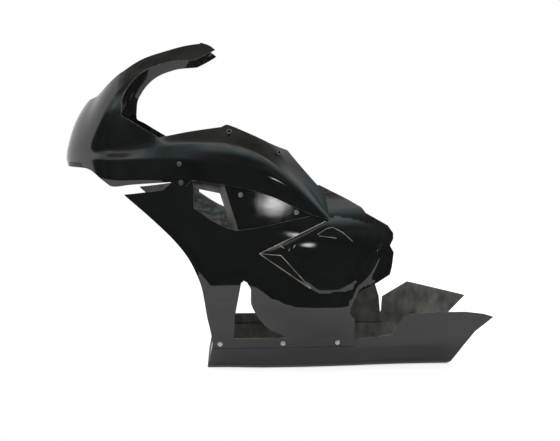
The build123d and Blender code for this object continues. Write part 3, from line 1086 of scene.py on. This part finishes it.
    def ledge(self) -> Shell:
        """Ledge turned in under the infill: ruled from the panel's crease to the ledge's rim.

        Returns:
            The ledge's own shell.
        """
        long, deep = self.ledge_size
        crease = curve_through(self.ledge_crease, self.ledge_line_pitch)
        rim = curve_through(self.ledge_rim, self.ledge_line_pitch)
        crease_reach, rim_reach = np.linspace(0.0, long, len(crease)), np.linspace(0.0, long, len(rim))
        rim = np.column_stack([np.interp(crease_reach, rim_reach, column) for column in rim.T])

        def lift(u: Array, v: Array) -> Array:
            """Points between crease and rim: their places at the first parameter, mixed by the second.

            Args:
                u: Places along the ledge.
                v: Places across it, from the crease.

            Returns:
                One point for each place.
            """
            foot = np.column_stack([np.interp(u, crease_reach, column) for column in crease.T])
            edge = np.column_stack([np.interp(u, crease_reach, column) for column in rim.T])
            return foot + (edge - foot) * (self.ledge_share * v / deep)[:, None]

        box = np.array([(0.0, 0.0), (long, 0.0), (long, deep), (0.0, deep)])
        shell = Shell.from_plan(Plan(box, pitch=self.ledge_pitch), lift, self.ledge_heart)
        return shell.finished(Coat.BRUSHED.value)

    def build(self) -> Shell:
        """Closed wall of the panel with its ledge, on its own side.

        Returns:
            The shell.
        """
        shell = Shell.from_plan(self.plan(), self.lift, self.heart)
        shell = shell.finished(self.highlighted(shell)).joined(self.ledge())
        return shell.on_side(self.side)


@dataclass
class InfillPanel(Moulding):
    """Small panel behind the blade, with a strut turned in along its front edge and a bar over the vent."""

    side: Side
    face_width: float = 200.2
    face_rake: tuple = (0.035, 0.0235)
    face_height: float = 450.0
    strut_in: float = 14.0
    strut_lean: float = 17.0
    fold_foot: tuple = (114.0, 388.0)
    fold_top: tuple = (155.0, 522.0)
    fold_lines: tuple = (-1.5, 0.0, 1.5)
    bare_margin: float = 0.5
    edge: tuple = (
        (97, 526), (32, 507), (-44, 472), (-84, 455), (-110, 440), (-74, 424), (-40, 417), (69, 391),
    )
    vent_bar: tuple = ((167, 500), (190, 505), (228, 513), (241, 514), (241, 531), (228, 533))
    pitch: float = 6.0
    heart: tuple = (0.0, 0.0, 450.0)

    @property
    def node(self) -> str:
        """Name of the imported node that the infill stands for."""
        return f"{self.side.word}_infill_panel"

    def fold_at(self, z: Array) -> Array:
        """Place of the fold between face and strut at a height."""
        return np.interp(z, [self.fold_foot[1], self.fold_top[1]], [self.fold_foot[0], self.fold_top[0]])

    def lift(self, x: Array, z: Array) -> Array:
        """Outer face: a plane, turned in ahead of the fold and level again along the bar over the vent.

        Args:
            x: Places along the machine.
            z: Height at each place.

        Returns:
            One point for each place.
        """
        width = self.face_width + self.face_rake[0] * x + self.face_rake[1] * (z - self.face_height)
        turn = np.clip((x - self.fold_at(z)) / self.strut_lean, 0.0, 1.0)
        return np.column_stack([x, width - self.strut_in * turn, z])

    def build(self) -> Shell:
        """Closed wall of the infill with its bare strut, on its own side.

        Returns:
            The shell.
        """
        foot, top = np.array(self.fold_foot), np.array(self.fold_top)
        strut_foot = foot + np.array([self.strut_lean, 0.0])
        edge, bar = straight_through(self.edge), straight_through(self.vent_bar)
        outline = np.vstack([top, edge, foot, strut_foot, bar])
        folds = [np.vstack([foot, top]) + np.array([shift, 0.0]) for shift in self.fold_lines]
        shell = Shell.from_plan(Plan(outline, creases=tuple(folds), pitch=self.pitch), self.lift, self.heart)
        middles = shell.middles(Block.OUTER)
        bare = middles[:, 0] > self.fold_at(middles[:, 2]) + self.bare_margin
        return shell.finished(np.where(bare, Coat.BARE.value, Coat.GLOSS.value)).on_side(self.side)


@dataclass
class BellyPan(Moulding):
    """Trough under the engine, with a closed front and a long tail.

    The floor's half widths are listed with their stations. The bilge is rounded from the floor up to its own
    height, and the wall is straight from there to the lap.
    """

    floor_halves: tuple = (
        (-640, 118), (-520, 118), (-430, 118), (-365, 119), (-335, 120), (-300, 122), (-232, 128),
        (-200, 131), (-160, 134), (-60, 139), (50, 139), (150, 128), (260, 124),
    )
    floor_share: float = 100.0
    bilge_height: float = 18.0
    bilge_out: float = 10.0
    bilge_depth: float = 18.0
    bilge_power: float = 2.6
    tail_start: float = -203.0
    tail_fall: tuple = (12.0, 400.0)
    lap_height: float = 64.0
    lap_inset: float = 2.9
    lap_slope: float = 8.0
    lap_rise: float = 3.0
    left_lap: float = -203.0
    right_lap: float = -338.0
    top_left: tuple = (
        (189, 91), (-196, 91), (-203, 86), (-313, 98), (-318, 110), (-345, 150), (-352, 155), (-412, 160),
        (-470, 160), (-521, 159), (-576, 151), (-606, 141), (-555, 100), (-524, 58), (-486, 0),
    )
    top_right: tuple = (
        (189, 91), (-334, 91), (-340, 100), (-345, 144), (-425, 191), (-605, 150), (-555, 100), (-524, 58),
        (-486, 0),
    )
    front_foot: tuple = ((206, 0), (192, 67), (186, 100))
    front_inset: tuple = (1.5, 2.0)
    front_heights: tuple = (0.0, 1.0, 2.5, 5.0, 9.0, 14.0, 18.0, 40.0, 64.0, 67.0, 91.0)
    front_pitch: float = 9.0
    front_heart: tuple = (0.0, 0.0, 50.0)
    crease_heights: tuple = (0.0, 1.0, 2.5, 5.0, 9.0, 14.0, 18.0, 22.0, 62.0, 64.0, 65.5, 67.0, 69.0)
    pitch: float = 8.0
    heart: tuple = (-150.0, 0.0, 200.0)

    @property
    def node(self) -> str:
        """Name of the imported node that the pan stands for."""
        return "belly_pan"

    def half_width(self, x: Array, z: Array) -> Array:
        """Half width of the wall: the side panel's flank, drawn in towards the tail."""
        return SidePanel(Side.LEFT).flank(x, z) - square_fall(self.tail_start - x, *self.tail_fall)

    def front_x(self, z: Array) -> Array:
        """Position of the raked front edge at a height."""
        places, heights = np.array(self.front_foot, float).T
        return np.interp(z, heights, places)

    def lift(self, x: Array, w: Array) -> Array:
        """Outer face: flat floor out to the bilge, a rounded bilge, then the wall up to the trimmed top.

        The second parameter runs across the floor up to the floor share, then is height plus that share. The
        bilge draws in from its outer edge as a power of the height that is left to its top.

        Args:
            x: Places along the machine.
            w: Places across the pan, negative on the right.

        Returns:
            One point for each place.
        """
        sign = np.where(w >= 0, 1.0, -1.0)
        reach = np.abs(w)
        z = np.maximum(reach - self.floor_share, 0.0)
        stations, halves = np.array(self.floor_halves, float).T
        outside = np.interp(x, stations, halves) + self.bilge_out
        lap = np.where(sign > 0, self.left_lap, self.right_lap)
        above = smooth_step((z - self.lap_height) / self.lap_rise)
        inset = self.lap_inset * smooth_step((x - lap) / self.lap_slope + 0.5) * above
        left = np.maximum(0.0, 1.0 - z / self.bilge_height)
        bilge = outside - self.bilge_depth * left**self.bilge_power
        seam = self.half_width(x, np.full_like(x, self.lap_height))
        share = (z - self.bilge_height) / (self.lap_height - self.bilge_height)
        wall = outside + (seam - outside) * share
        upper = self.half_width(x, z) - inset
        width = np.where(z < self.bilge_height, bilge, np.where(z < self.lap_height, wall, upper))
        floor = (outside - self.bilge_depth) * reach / self.floor_share
        return np.column_stack([x, sign * np.where(reach < self.floor_share, floor, width), z])

    def plan(self) -> Plan:
        """Plan of the trough, unrolled across, with the lines of its bilge and seam.

        Returns:
            The plan in length along the machine and distance across the pan.
        """
        rise = np.array([0.0, self.floor_share])
        foot = straight_through(self.front_foot)[:-1]
        left = np.vstack([foot, straight_through(self.top_left)]) + rise
        right = (np.vstack([foot, straight_through(self.top_right)]) + rise) * np.array([1.0, -1.0])
        ends = np.array([self.floor_halves[0][0], self.floor_halves[-1][0]], float)
        creases = [
            np.column_stack([ends, np.full(2, sign * (self.floor_share + z))])
            for sign in (1.0, -1.0)
            for z in self.crease_heights
        ]
        return Plan(np.vstack([left, right[::-1]]), creases=tuple(creases), pitch=self.pitch)

    def front_wall(self) -> Shell:
        """Closed front: a flat wall leaning back between the two sides.

        Returns:
            The front's own shell.
        """
        back, in_from_side = self.front_inset
        z = np.array(self.front_heights)
        half = np.abs(self.lift(self.front_x(z) - back, z + self.floor_share)[:, 1]) - in_from_side
        outline = np.vstack([np.column_stack([half, z]), np.column_stack([-half[::-1], z[::-1]])])

        def lift(y: Array, height: Array) -> Array:
            """Points of the wall, just behind the raked front edge."""
            return np.column_stack([self.front_x(height) - back, y, height])

        return Shell.from_plan(Plan(outline, pitch=self.front_pitch), lift, self.front_heart)

    def build(self) -> Shell:
        """Closed wall of the trough with its front, kept level with the ground.

        Returns:
            The shell.
        """
        trough = Shell.from_plan(self.plan(), self.lift, self.heart)
        pan = trough.joined(self.front_wall())
        pan.points[:, 2] = np.maximum(pan.points[:, 2], 0.0)
        return pan


# Finishes


@dataclass(frozen=True)
class Grain:
    """Noise pattern of a finish: how fine it is, how many octaves it has and how it is drawn out."""

    scale: float
    detail: float
    stretch: tuple = (1.0, 1.0, 1.0)


class Nodes:
    """Short hand for laying out the nodes of a material, a lamp or the world."""

    def __init__(self, tree: bpy.types.NodeTree) -> None:
        """Takes over a node tree."""
        self.tree = tree

    def add(self, kind: str) -> bpy.types.Node:
        """New node of a kind."""
        return self.tree.nodes.new(kind)

    def link(self, source: Socket, target: Socket) -> None:
        """Joins two sockets."""
        self.tree.links.new(source, target)

    def math(self, operation: str, *values: "Socket | float") -> Socket:
        """Arithmetic on sockets and numbers.

        Args:
            operation: Name of the operation.
            values: Sockets or constant numbers, in the order of the operation.

        Returns:
            The result.
        """
        node = self.add("ShaderNodeMath")
        node.operation = operation
        for target, value in zip(node.inputs, values):
            if isinstance(value, Socket):
                self.link(value, target)
            else:
                target.default_value = value
        return node.outputs["Value"]

    def span(self, value: Socket, start: float, end: float, to: tuple = (0.0, 1.0)) -> bpy.types.Node:
        """Range of a value taken to another range and held at its ends.

        Args:
            value: The value.
            start: Where the range starts.
            end: Where it ends, which may be lower.
            to: What start and end become.

        Returns:
            The node, whose Result is the new value.
        """
        node = self.add("ShaderNodeMapRange")
        node.inputs["From Min"].default_value = start
        node.inputs["From Max"].default_value = end
        node.inputs["To Min"].default_value, node.inputs["To Max"].default_value = to
        self.link(value, node.inputs["Value"])
        return node

    def noise(self, place: Socket, grain: Grain) -> Socket:
        """Noise over coordinates.

        Args:
            place: The coordinates, drawn out already.
            grain: Scale and detail of the noise.

        Returns:
            The noise, about 0.5 in the mean.
        """
        node = self.add("ShaderNodeTexNoise")
        node.inputs["Scale"].default_value = grain.scale
        node.inputs["Detail"].default_value = grain.detail
        self.link(place, node.inputs["Vector"])
        return node.outputs["Fac"]

    def ramp(self, source: Socket, stops: tuple) -> Socket:
        """Colour ramp.

        Args:
            source: Value that picks the colour.
            stops: Pairs of a place and a grey or a colour.

        Returns:
            The colour.
        """
        node = self.add("ShaderNodeValToRGB")
        points = node.color_ramp.elements
        while len(points) < len(stops):
            points.new(0.5)
        for point, (place, tone) in zip(points, stops):
            point.position = place
            point.color = (*tone, 1.0) if isinstance(tone, tuple) else (tone, tone, tone, 1.0)
        self.link(source, node.inputs["Fac"])
        return node.outputs["Color"]


class Surface(Nodes):
    """Nodes of a material, from the piece's own coordinates to its surface shader."""

    def __init__(self, name: str) -> None:
        """Adds a material with its shader and its output.

        Args:
            name: Name of the material.
        """
        self.material = bpy.data.materials.new(name)
        self.material.use_nodes = True
        super().__init__(self.material.node_tree)
        self.tree.nodes.clear()
        self.shader = self.add("ShaderNodeBsdfPrincipled")
        output = self.add("ShaderNodeOutputMaterial")
        self.link(self.shader.outputs["BSDF"], output.inputs["Surface"])
        self.place = self.add("ShaderNodeTexCoord").outputs["Object"]

    def pattern(self, grain: Grain) -> Socket:
        """Noise over the piece's own coordinates, with its grain drawn out.

        Args:
            grain: The noise pattern.

        Returns:
            The noise.
        """
        mapping = self.add("ShaderNodeMapping")
        mapping.inputs["Scale"].default_value = grain.stretch
        self.link(self.place, mapping.inputs["Vector"])
        return self.noise(mapping.outputs["Vector"], grain)

    def vary(self, socket: str, grain: Grain, stops: tuple) -> None:
        """Lets one of the shader's sockets vary with a grain through a ramp."""
        self.link(self.ramp(self.pattern(grain), stops), self.shader.inputs[socket])

    def bump(self, grain: Grain, depth: float, strength: float) -> None:
        """Relief on the surface from a grain.

        Args:
            grain: The noise pattern.
            depth: Depth of the relief in metres.
            strength: Share of the relief that shows.
        """
        node = self.add("ShaderNodeBump")
        node.inputs["Distance"].default_value = depth
        node.inputs["Strength"].default_value = strength
        self.link(self.pattern(grain), node.inputs["Height"])
        self.link(node.outputs["Normal"], self.shader.inputs["Normal"])


@dataclass(frozen=True)
class Finish:
    """Finish of a surface: a mottled colour, an uneven dullness and a relief, each with its own grain.

    Colours and dullness are pairs of a place on the grain and a tone. Relief is a depth in metres and a
    strength. Constants are names of the shader's sockets and their values.
    """

    name: str
    colour_grain: Grain
    colours: tuple
    dull_grain: Grain
    dullness: tuple
    relief_grain: Grain
    relief: tuple
    constants: tuple = ()

    def make(self) -> bpy.types.Material:
        """Lays out the material.

        Returns:
            The material.
        """
        surface = Surface(self.name)
        surface.vary("Base Color", self.colour_grain, self.colours)
        surface.vary("Roughness", self.dull_grain, self.dullness)
        surface.bump(self.relief_grain, *self.relief)
        for socket, value in self.constants:
            surface.shader.inputs[socket].default_value = value
        return surface.material


def edge_finish(name: str, resin: tuple, pale_patches: tuple) -> Finish:
    """Dull finish with dark and pale patches: the sawn edge of the laminate, with patches of fibre, and the
    painted highlight lines on the side panel.

    Args:
        name: Name of the finish.
        resin: Colour of the dark patches.
        pale_patches: Colour of the pale patches, fibre on a sawn edge and painted highlight on the highlight
            lines.

    Returns:
        The finish.
    """
    patches = Grain(45.0, 6.0)
    return Finish(
        name=name,
        colour_grain=patches,
        colours=((0.38, resin), (0.66, pale_patches)),
        dull_grain=patches,
        dullness=((0.3, 0.30), (0.7, 0.62)),
        relief_grain=Grain(420.0, 5.0),
        relief=(0.0004, 0.5),
    )


def plated_finish(name: str, tone: tuple, smooth: float, dull: float, spot_share: float = 0.72) -> Finish:
    """Plated metal of the fasteners and bushes, with a brushed grain and dull spots.

    Args:
        name: Name of the finish.
        tone: Colour of the clean metal.
        smooth: Roughness of the clean metal.
        dull: Roughness of the spots.
        spot_share: Share of the clean metal's colour that the spots have.

    Returns:
        The finish.
    """
    spots = Grain(210.0, 6.0)
    shade = tuple(spot_share * part for part in tone)
    return Finish(
        name=name,
        colour_grain=spots,
        colours=((0.35, shade), (0.65, tone)),
        dull_grain=spots,
        dullness=((0.3, dull), (0.7, smooth)),
        relief_grain=Grain(900.0, 3.0, (1.0, 1.0, 6.0)),
        relief=(0.00005, 0.35),
        constants=(("Metallic", 1.0),),
    )


# Gloss black gel coat with a faint ripple, handling marks and a thin film of dust
GEL_COAT = Finish(
    name="gel_coat",
    colour_grain=Grain(9.0, 5.0),
    colours=((0.35, (0.0048, 0.0060, 0.0058)), (0.75, (0.0080, 0.0092, 0.0088))),
    dull_grain=Grain(60.0, 8.0, (1.0, 1.0, 2.5)),
    dullness=((0.40, 0.025), (0.75, 0.09)),
    relief_grain=Grain(22.0, 1.0),
    relief=(0.00022, 0.5),
    constants=(("IOR", 1.7),),
)
# Inner face of a moulding: brown-grey resin over mat, mottled, with runs down it
RAW_LAMINATE = Finish(
    name="raw_laminate",
    colour_grain=Grain(30.0, 9.0, (1.0, 1.0, 0.6)),
    colours=((0.25, (0.028, 0.028, 0.025)), (0.80, (0.185, 0.182, 0.164))),
    dull_grain=Grain(80.0, 6.0),
    dullness=((0.3, 0.38), (0.7, 0.68)),
    relief_grain=Grain(140.0, 9.0, (1.0, 1.0, 0.5)),
    relief=(0.0012, 0.6),
)
# Black coat brushed on by hand: half dull, uneven, with pale mottling where the mat shows through
BRUSHED_COAT = Finish(
    name="brushed_coat",
    colour_grain=Grain(55.0, 8.0, (1.0, 1.0, 1.6)),
    colours=((0.42, (0.010, 0.013, 0.013)), (0.72, (0.075, 0.084, 0.080))),
    dull_grain=Grain(70.0, 5.0),
    dullness=((0.3, 0.16), (0.7, 0.42)),
    relief_grain=Grain(95.0, 7.0),
    relief=(0.0010, 0.5),
)
CUT_EDGE = edge_finish("cut_edge", (0.035, 0.033, 0.028), (0.150, 0.135, 0.105))
# Painted highlight: pale beige lines that stand for glints of light on the bulge
HIGHLIGHT_PAINT = edge_finish("painted_highlight", (0.14, 0.135, 0.115), (0.46, 0.44, 0.36))
ZINC_PLATE = plated_finish("zinc_plate", (0.78, 0.79, 0.80), 0.22, 0.38)
SPRING_STEEL = plated_finish("spring_steel", (0.42, 0.41, 0.39), 0.30, 0.50)
BUSH_ALLOY = plated_finish("bush_alloy", (0.70, 0.71, 0.72), 0.26, 0.42)
COATS = {
    Coat.GLOSS: GEL_COAT, Coat.BARE: RAW_LAMINATE, Coat.EDGE: CUT_EDGE, Coat.BRUSHED: BRUSHED_COAT,
    Coat.PAINTED_HIGHLIGHT: HIGHLIGHT_PAINT,
}


@dataclass(frozen=True)
class Fasteners:
    """Studs, washers, receptacle plates and bushes, shown as packed, with a finish for each end of a name."""

    finishes: tuple = (
        ("_studs", ZINC_PLATE), ("_washers", ZINC_PLATE), ("_receptacles", SPRING_STEEL),
        ("_bushes", BUSH_ALLOY),
    )

    def dress(self, nodes: dict) -> None:
        """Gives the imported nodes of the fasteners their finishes.

        Args:
            nodes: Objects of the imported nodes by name.
        """
        made = {finish: finish.make() for finish in (ZINC_PLATE, SPRING_STEEL, BUSH_ALLOY)}
        for name, node in nodes.items():
            for end, finish in self.finishes:
                if name.endswith(end):
                    node.data.materials.clear()
                    node.data.materials.append(made[finish])
                    log.info("%s dressed in %s", name, finish.name)


# Studio


@dataclass(frozen=True)
class Lamp:
    """Rectangular lamp aimed at a point, shown in reflections or not."""

    name: str
    place: tuple
    aim: tuple
    size: tuple
    watts: float
    mirrored: bool = False

    def hang(self) -> None:
        """Adds the lamp to the scene, softened where it is mirrored."""
        data = bpy.data.lights.new(self.name, "AREA")
        data.shape = "RECTANGLE"
        data.size, data.size_y = self.size
        data.energy = self.watts
        lamp = bpy.data.objects.new(self.name, data)
        lamp.location = self.place
        lamp.visible_glossy = self.mirrored
        lamp.rotation_euler = (Vector(self.aim) - Vector(self.place)).to_track_quat("-Z", "Y").to_euler()
        bpy.context.scene.collection.objects.link(lamp)
        if self.mirrored:
            self.soften(data)

    @staticmethod
    def soften(light: bpy.types.Light) -> None:
        """Lets a lamp fade from its middle to its rim, so that it mirrors as a soft glow.

        Args:
            light: The lamp's data.
        """
        light.use_nodes = True
        nodes = Nodes(light.node_tree)
        offset = nodes.add("ShaderNodeVectorMath")
        offset.operation = "DISTANCE"
        offset.inputs[1].default_value = (0.5, 0.5, 0.0)
        nodes.link(nodes.add("ShaderNodeNewGeometry").outputs["Parametric"], offset.inputs[0])
        fade = nodes.span(offset.outputs["Value"], 0.5, 0.0)
        fade.interpolation_type = "SMOOTHERSTEP"
        nodes.link(fade.outputs["Result"], nodes.tree.nodes["Emission"].inputs["Strength"])


@dataclass
class Studio:
    """White sweep that ends a little ahead of the set, a pale backdrop behind it and a dim room before it.

    Lifts are the floor's own brightness to the eye and in reflections. The backdrop's edge and top are ranges
    of direction over which it fades, and room tones are colours by the height of the direction.
    """

    sweep_front: float = 0.60
    sweep_back: float = -4.5
    sweep_half: float = 4.0
    floor_grain: Grain = Grain(3.0, 4.0)
    floor_tones: tuple = ((0.3, 0.80), (0.7, 0.84))
    floor_dullness: float = 0.9
    floor_eye_lift: float = 0.55
    floor_mirror_lift: float = 0.04
    backdrop_edge: tuple = (0.20, 0.29)
    backdrop_lean: float = 0.1
    backdrop_top: tuple = (0.42, 0.60)
    backdrop_rake: float = 0.55
    clutter_grain: Grain = Grain(3.2, 3.0)
    clutter_range: tuple = (0.35, 0.65)
    clutter_gain: tuple = (0.55, 1.45)
    room_tones: tuple = (
        (-0.30, (0.050, 0.055, 0.052)), (0.05, (0.080, 0.090, 0.086)), (0.24, (0.105, 0.120, 0.116)),
        (0.34, (0.17, 0.20, 0.20)), (0.46, (0.56, 0.69, 0.69)), (0.56, (0.95, 1.0, 1.0)),
        (0.63, (1.0, 1.0, 0.98)), (0.71, (0.40, 0.40, 0.37)), (0.80, (0.24, 0.23, 0.20)),
        (1.0, (0.22, 0.21, 0.18)),
    )
    lamps: tuple = (
        Lamp("roof_lamp", (0.1, -0.5, 2.6), (0.0, 0.0, 0.3), (2.2, 1.4), 26.0),
        Lamp("fill_lamp", (0.5, 2.3, 1.9), (0.0, 0.0, 0.4), (0.9, 0.9), 38.0),
        Lamp("low_lamp", (-0.26, 2.5, 0.19), (0.02, 0.2, 0.47), (0.24, 0.20), 1.3, mirrored=True),
    )
    eye: tuple = (0.1395, 2.490, 0.643)
    yaw_deg: float = 3.355
    pitch_deg: float = 5.416
    lens_px: float = 849.0
    image_width_px: float = 560.0
    sensor_mm: float = 36.0

    @staticmethod
    def eye_rays(nodes: Nodes) -> Socket:
        """1 for rays from the eye, straight or through something clear, and 0 for all others."""
        path = nodes.add("ShaderNodeLightPath")
        return nodes.math("MAXIMUM", path.outputs["Is Camera Ray"], path.outputs["Is Transmission Ray"])

    def floor(self) -> None:
        """Flat pale floor, white to the eye, that takes the set's shadow."""
        paper = Surface("floor_paper")
        paper.vary("Base Color", self.floor_grain, self.floor_tones)
        paper.shader.inputs["Roughness"].default_value = self.floor_dullness
        paper.shader.inputs["Emission Color"].default_value = (1.0, 1.0, 1.0, 1.0)
        mirrored = paper.add("ShaderNodeLightPath").outputs["Is Glossy Ray"]
        seen = paper.math("MULTIPLY", self.eye_rays(paper), self.floor_eye_lift)
        lift = paper.math("MULTIPLY_ADD", mirrored, self.floor_mirror_lift, seen)
        paper.link(lift, paper.shader.inputs["Emission Strength"])
        mesh = bpy.data.meshes.new("floor")
        low, high, half = self.sweep_back, self.sweep_front, self.sweep_half
        corners = [(-half, low, 0.0), (half, low, 0.0), (half, high, 0.0), (-half, high, 0.0)]
        mesh.from_pydata(corners, [], [(0, 1, 2, 3)])
        mesh.materials.append(paper.material)
        floor = bpy.data.objects.new("floor", mesh)
        bpy.context.scene.collection.objects.link(floor)

    def sky(self) -> None:
        """World: white to the eye, and otherwise a pale backdrop behind the set and a dim room before it.

        The room is a ramp over the height of the direction, times a soft noise that stands for what is in it.
        """
        world = bpy.data.worlds.new("studio")
        bpy.context.scene.world = world
        world.use_nodes = True
        nodes = Nodes(world.node_tree)
        nodes.tree.nodes.clear()
        way = nodes.add("ShaderNodeTexCoord").outputs["Generated"]
        split = nodes.add("ShaderNodeSeparateXYZ")
        nodes.link(way, split.inputs["Vector"])
        x, y, z = (split.outputs[axis] for axis in "XYZ")
        stops = tuple((0.5 + 0.5 * height, tone) for height, tone in self.room_tones)
        room = nodes.ramp(nodes.span(z, -1.0, 1.0).outputs["Result"], stops)
        clutter = nodes.span(nodes.noise(way, self.clutter_grain), *self.clutter_range, self.clutter_gain)
        ahead = nodes.add("ShaderNodeVectorMath")
        ahead.operation = "SCALE"
        nodes.link(room, ahead.inputs[0])
        nodes.link(clutter.outputs["Result"], ahead.inputs["Scale"])
        leant = nodes.math("MULTIPLY_ADD", z, -self.backdrop_lean, y)
        raked = nodes.math("MULTIPLY_ADD", x, -self.backdrop_rake, z)
        behind = nodes.span(leant, *self.backdrop_edge[::-1])
        below = nodes.span(raked, *self.backdrop_top[::-1])
        backdrop = nodes.math("MULTIPLY", behind.outputs["Result"], below.outputs["Result"])
        white = nodes.math("MAXIMUM", self.eye_rays(nodes), backdrop)
        tone = nodes.add("ShaderNodeMix")
        tone.data_type = "RGBA"
        nodes.link(white, tone.inputs["Factor"])
        nodes.link(ahead.outputs["Vector"], tone.inputs[MIX_FIRST_COLOUR])
        tone.inputs[MIX_SECOND_COLOUR].default_value = (1.0, 1.0, 1.0, 1.0)
        back = nodes.add("ShaderNodeBackground")
        nodes.link(tone.outputs[MIX_RESULT_COLOUR], back.inputs["Color"])
        nodes.link(back.outputs["Background"], nodes.add("ShaderNodeOutputWorld").inputs["Surface"])

    def camera(self) -> None:
        """Camera where the photograph was taken from."""
        data = bpy.data.cameras.new("camera")
        data.sensor_width = self.sensor_mm
        data.sensor_fit = "HORIZONTAL"
        data.lens = self.lens_px * self.sensor_mm / self.image_width_px
        camera = bpy.data.objects.new("camera", data)
        bpy.context.scene.collection.objects.link(camera)
        yaw, pitch = math.radians(self.yaw_deg), math.radians(self.pitch_deg)
        level = math.cos(pitch)
        ahead = Vector((-math.sin(yaw) * level, -math.cos(yaw) * level, -math.sin(pitch)))
        right = Vector((-math.cos(yaw), math.sin(yaw), 0.0))
        up = right.cross(ahead)
        turn = Matrix((right, up, -ahead)).transposed().to_4x4()
        camera.matrix_world = Matrix.Translation(self.eye) @ turn
        bpy.context.scene.camera = camera

    def set_up(self) -> None:
        """Floor, world, lamps, camera and plain colour handling."""
        self.floor()
        self.sky()
        for lamp in self.lamps:
            lamp.hang()
        self.camera()
        bpy.context.scene.view_settings.view_transform = "Standard"


# The whole set


def main() -> None:
    """Builds and dresses the whole set."""
    logging.basicConfig(level=logging.INFO, format="%(message)s")
    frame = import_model()
    materials = [COATS[coat].make() for coat in Coat]
    mouldings = [
        Cowl(), BellyPan(), SidePanel(Side.LEFT), InfillPanel(Side.LEFT),
        SidePanel(Side.RIGHT, ledge_share=0.5), InfillPanel(Side.RIGHT),
    ]
    for moulding in mouldings:
        moulding.dress(materials)
    Fasteners().dress(frame["nodes"])
    Studio().set_up()
    bpy.context.view_layer.update()


if __name__ == "__main__":
    main()
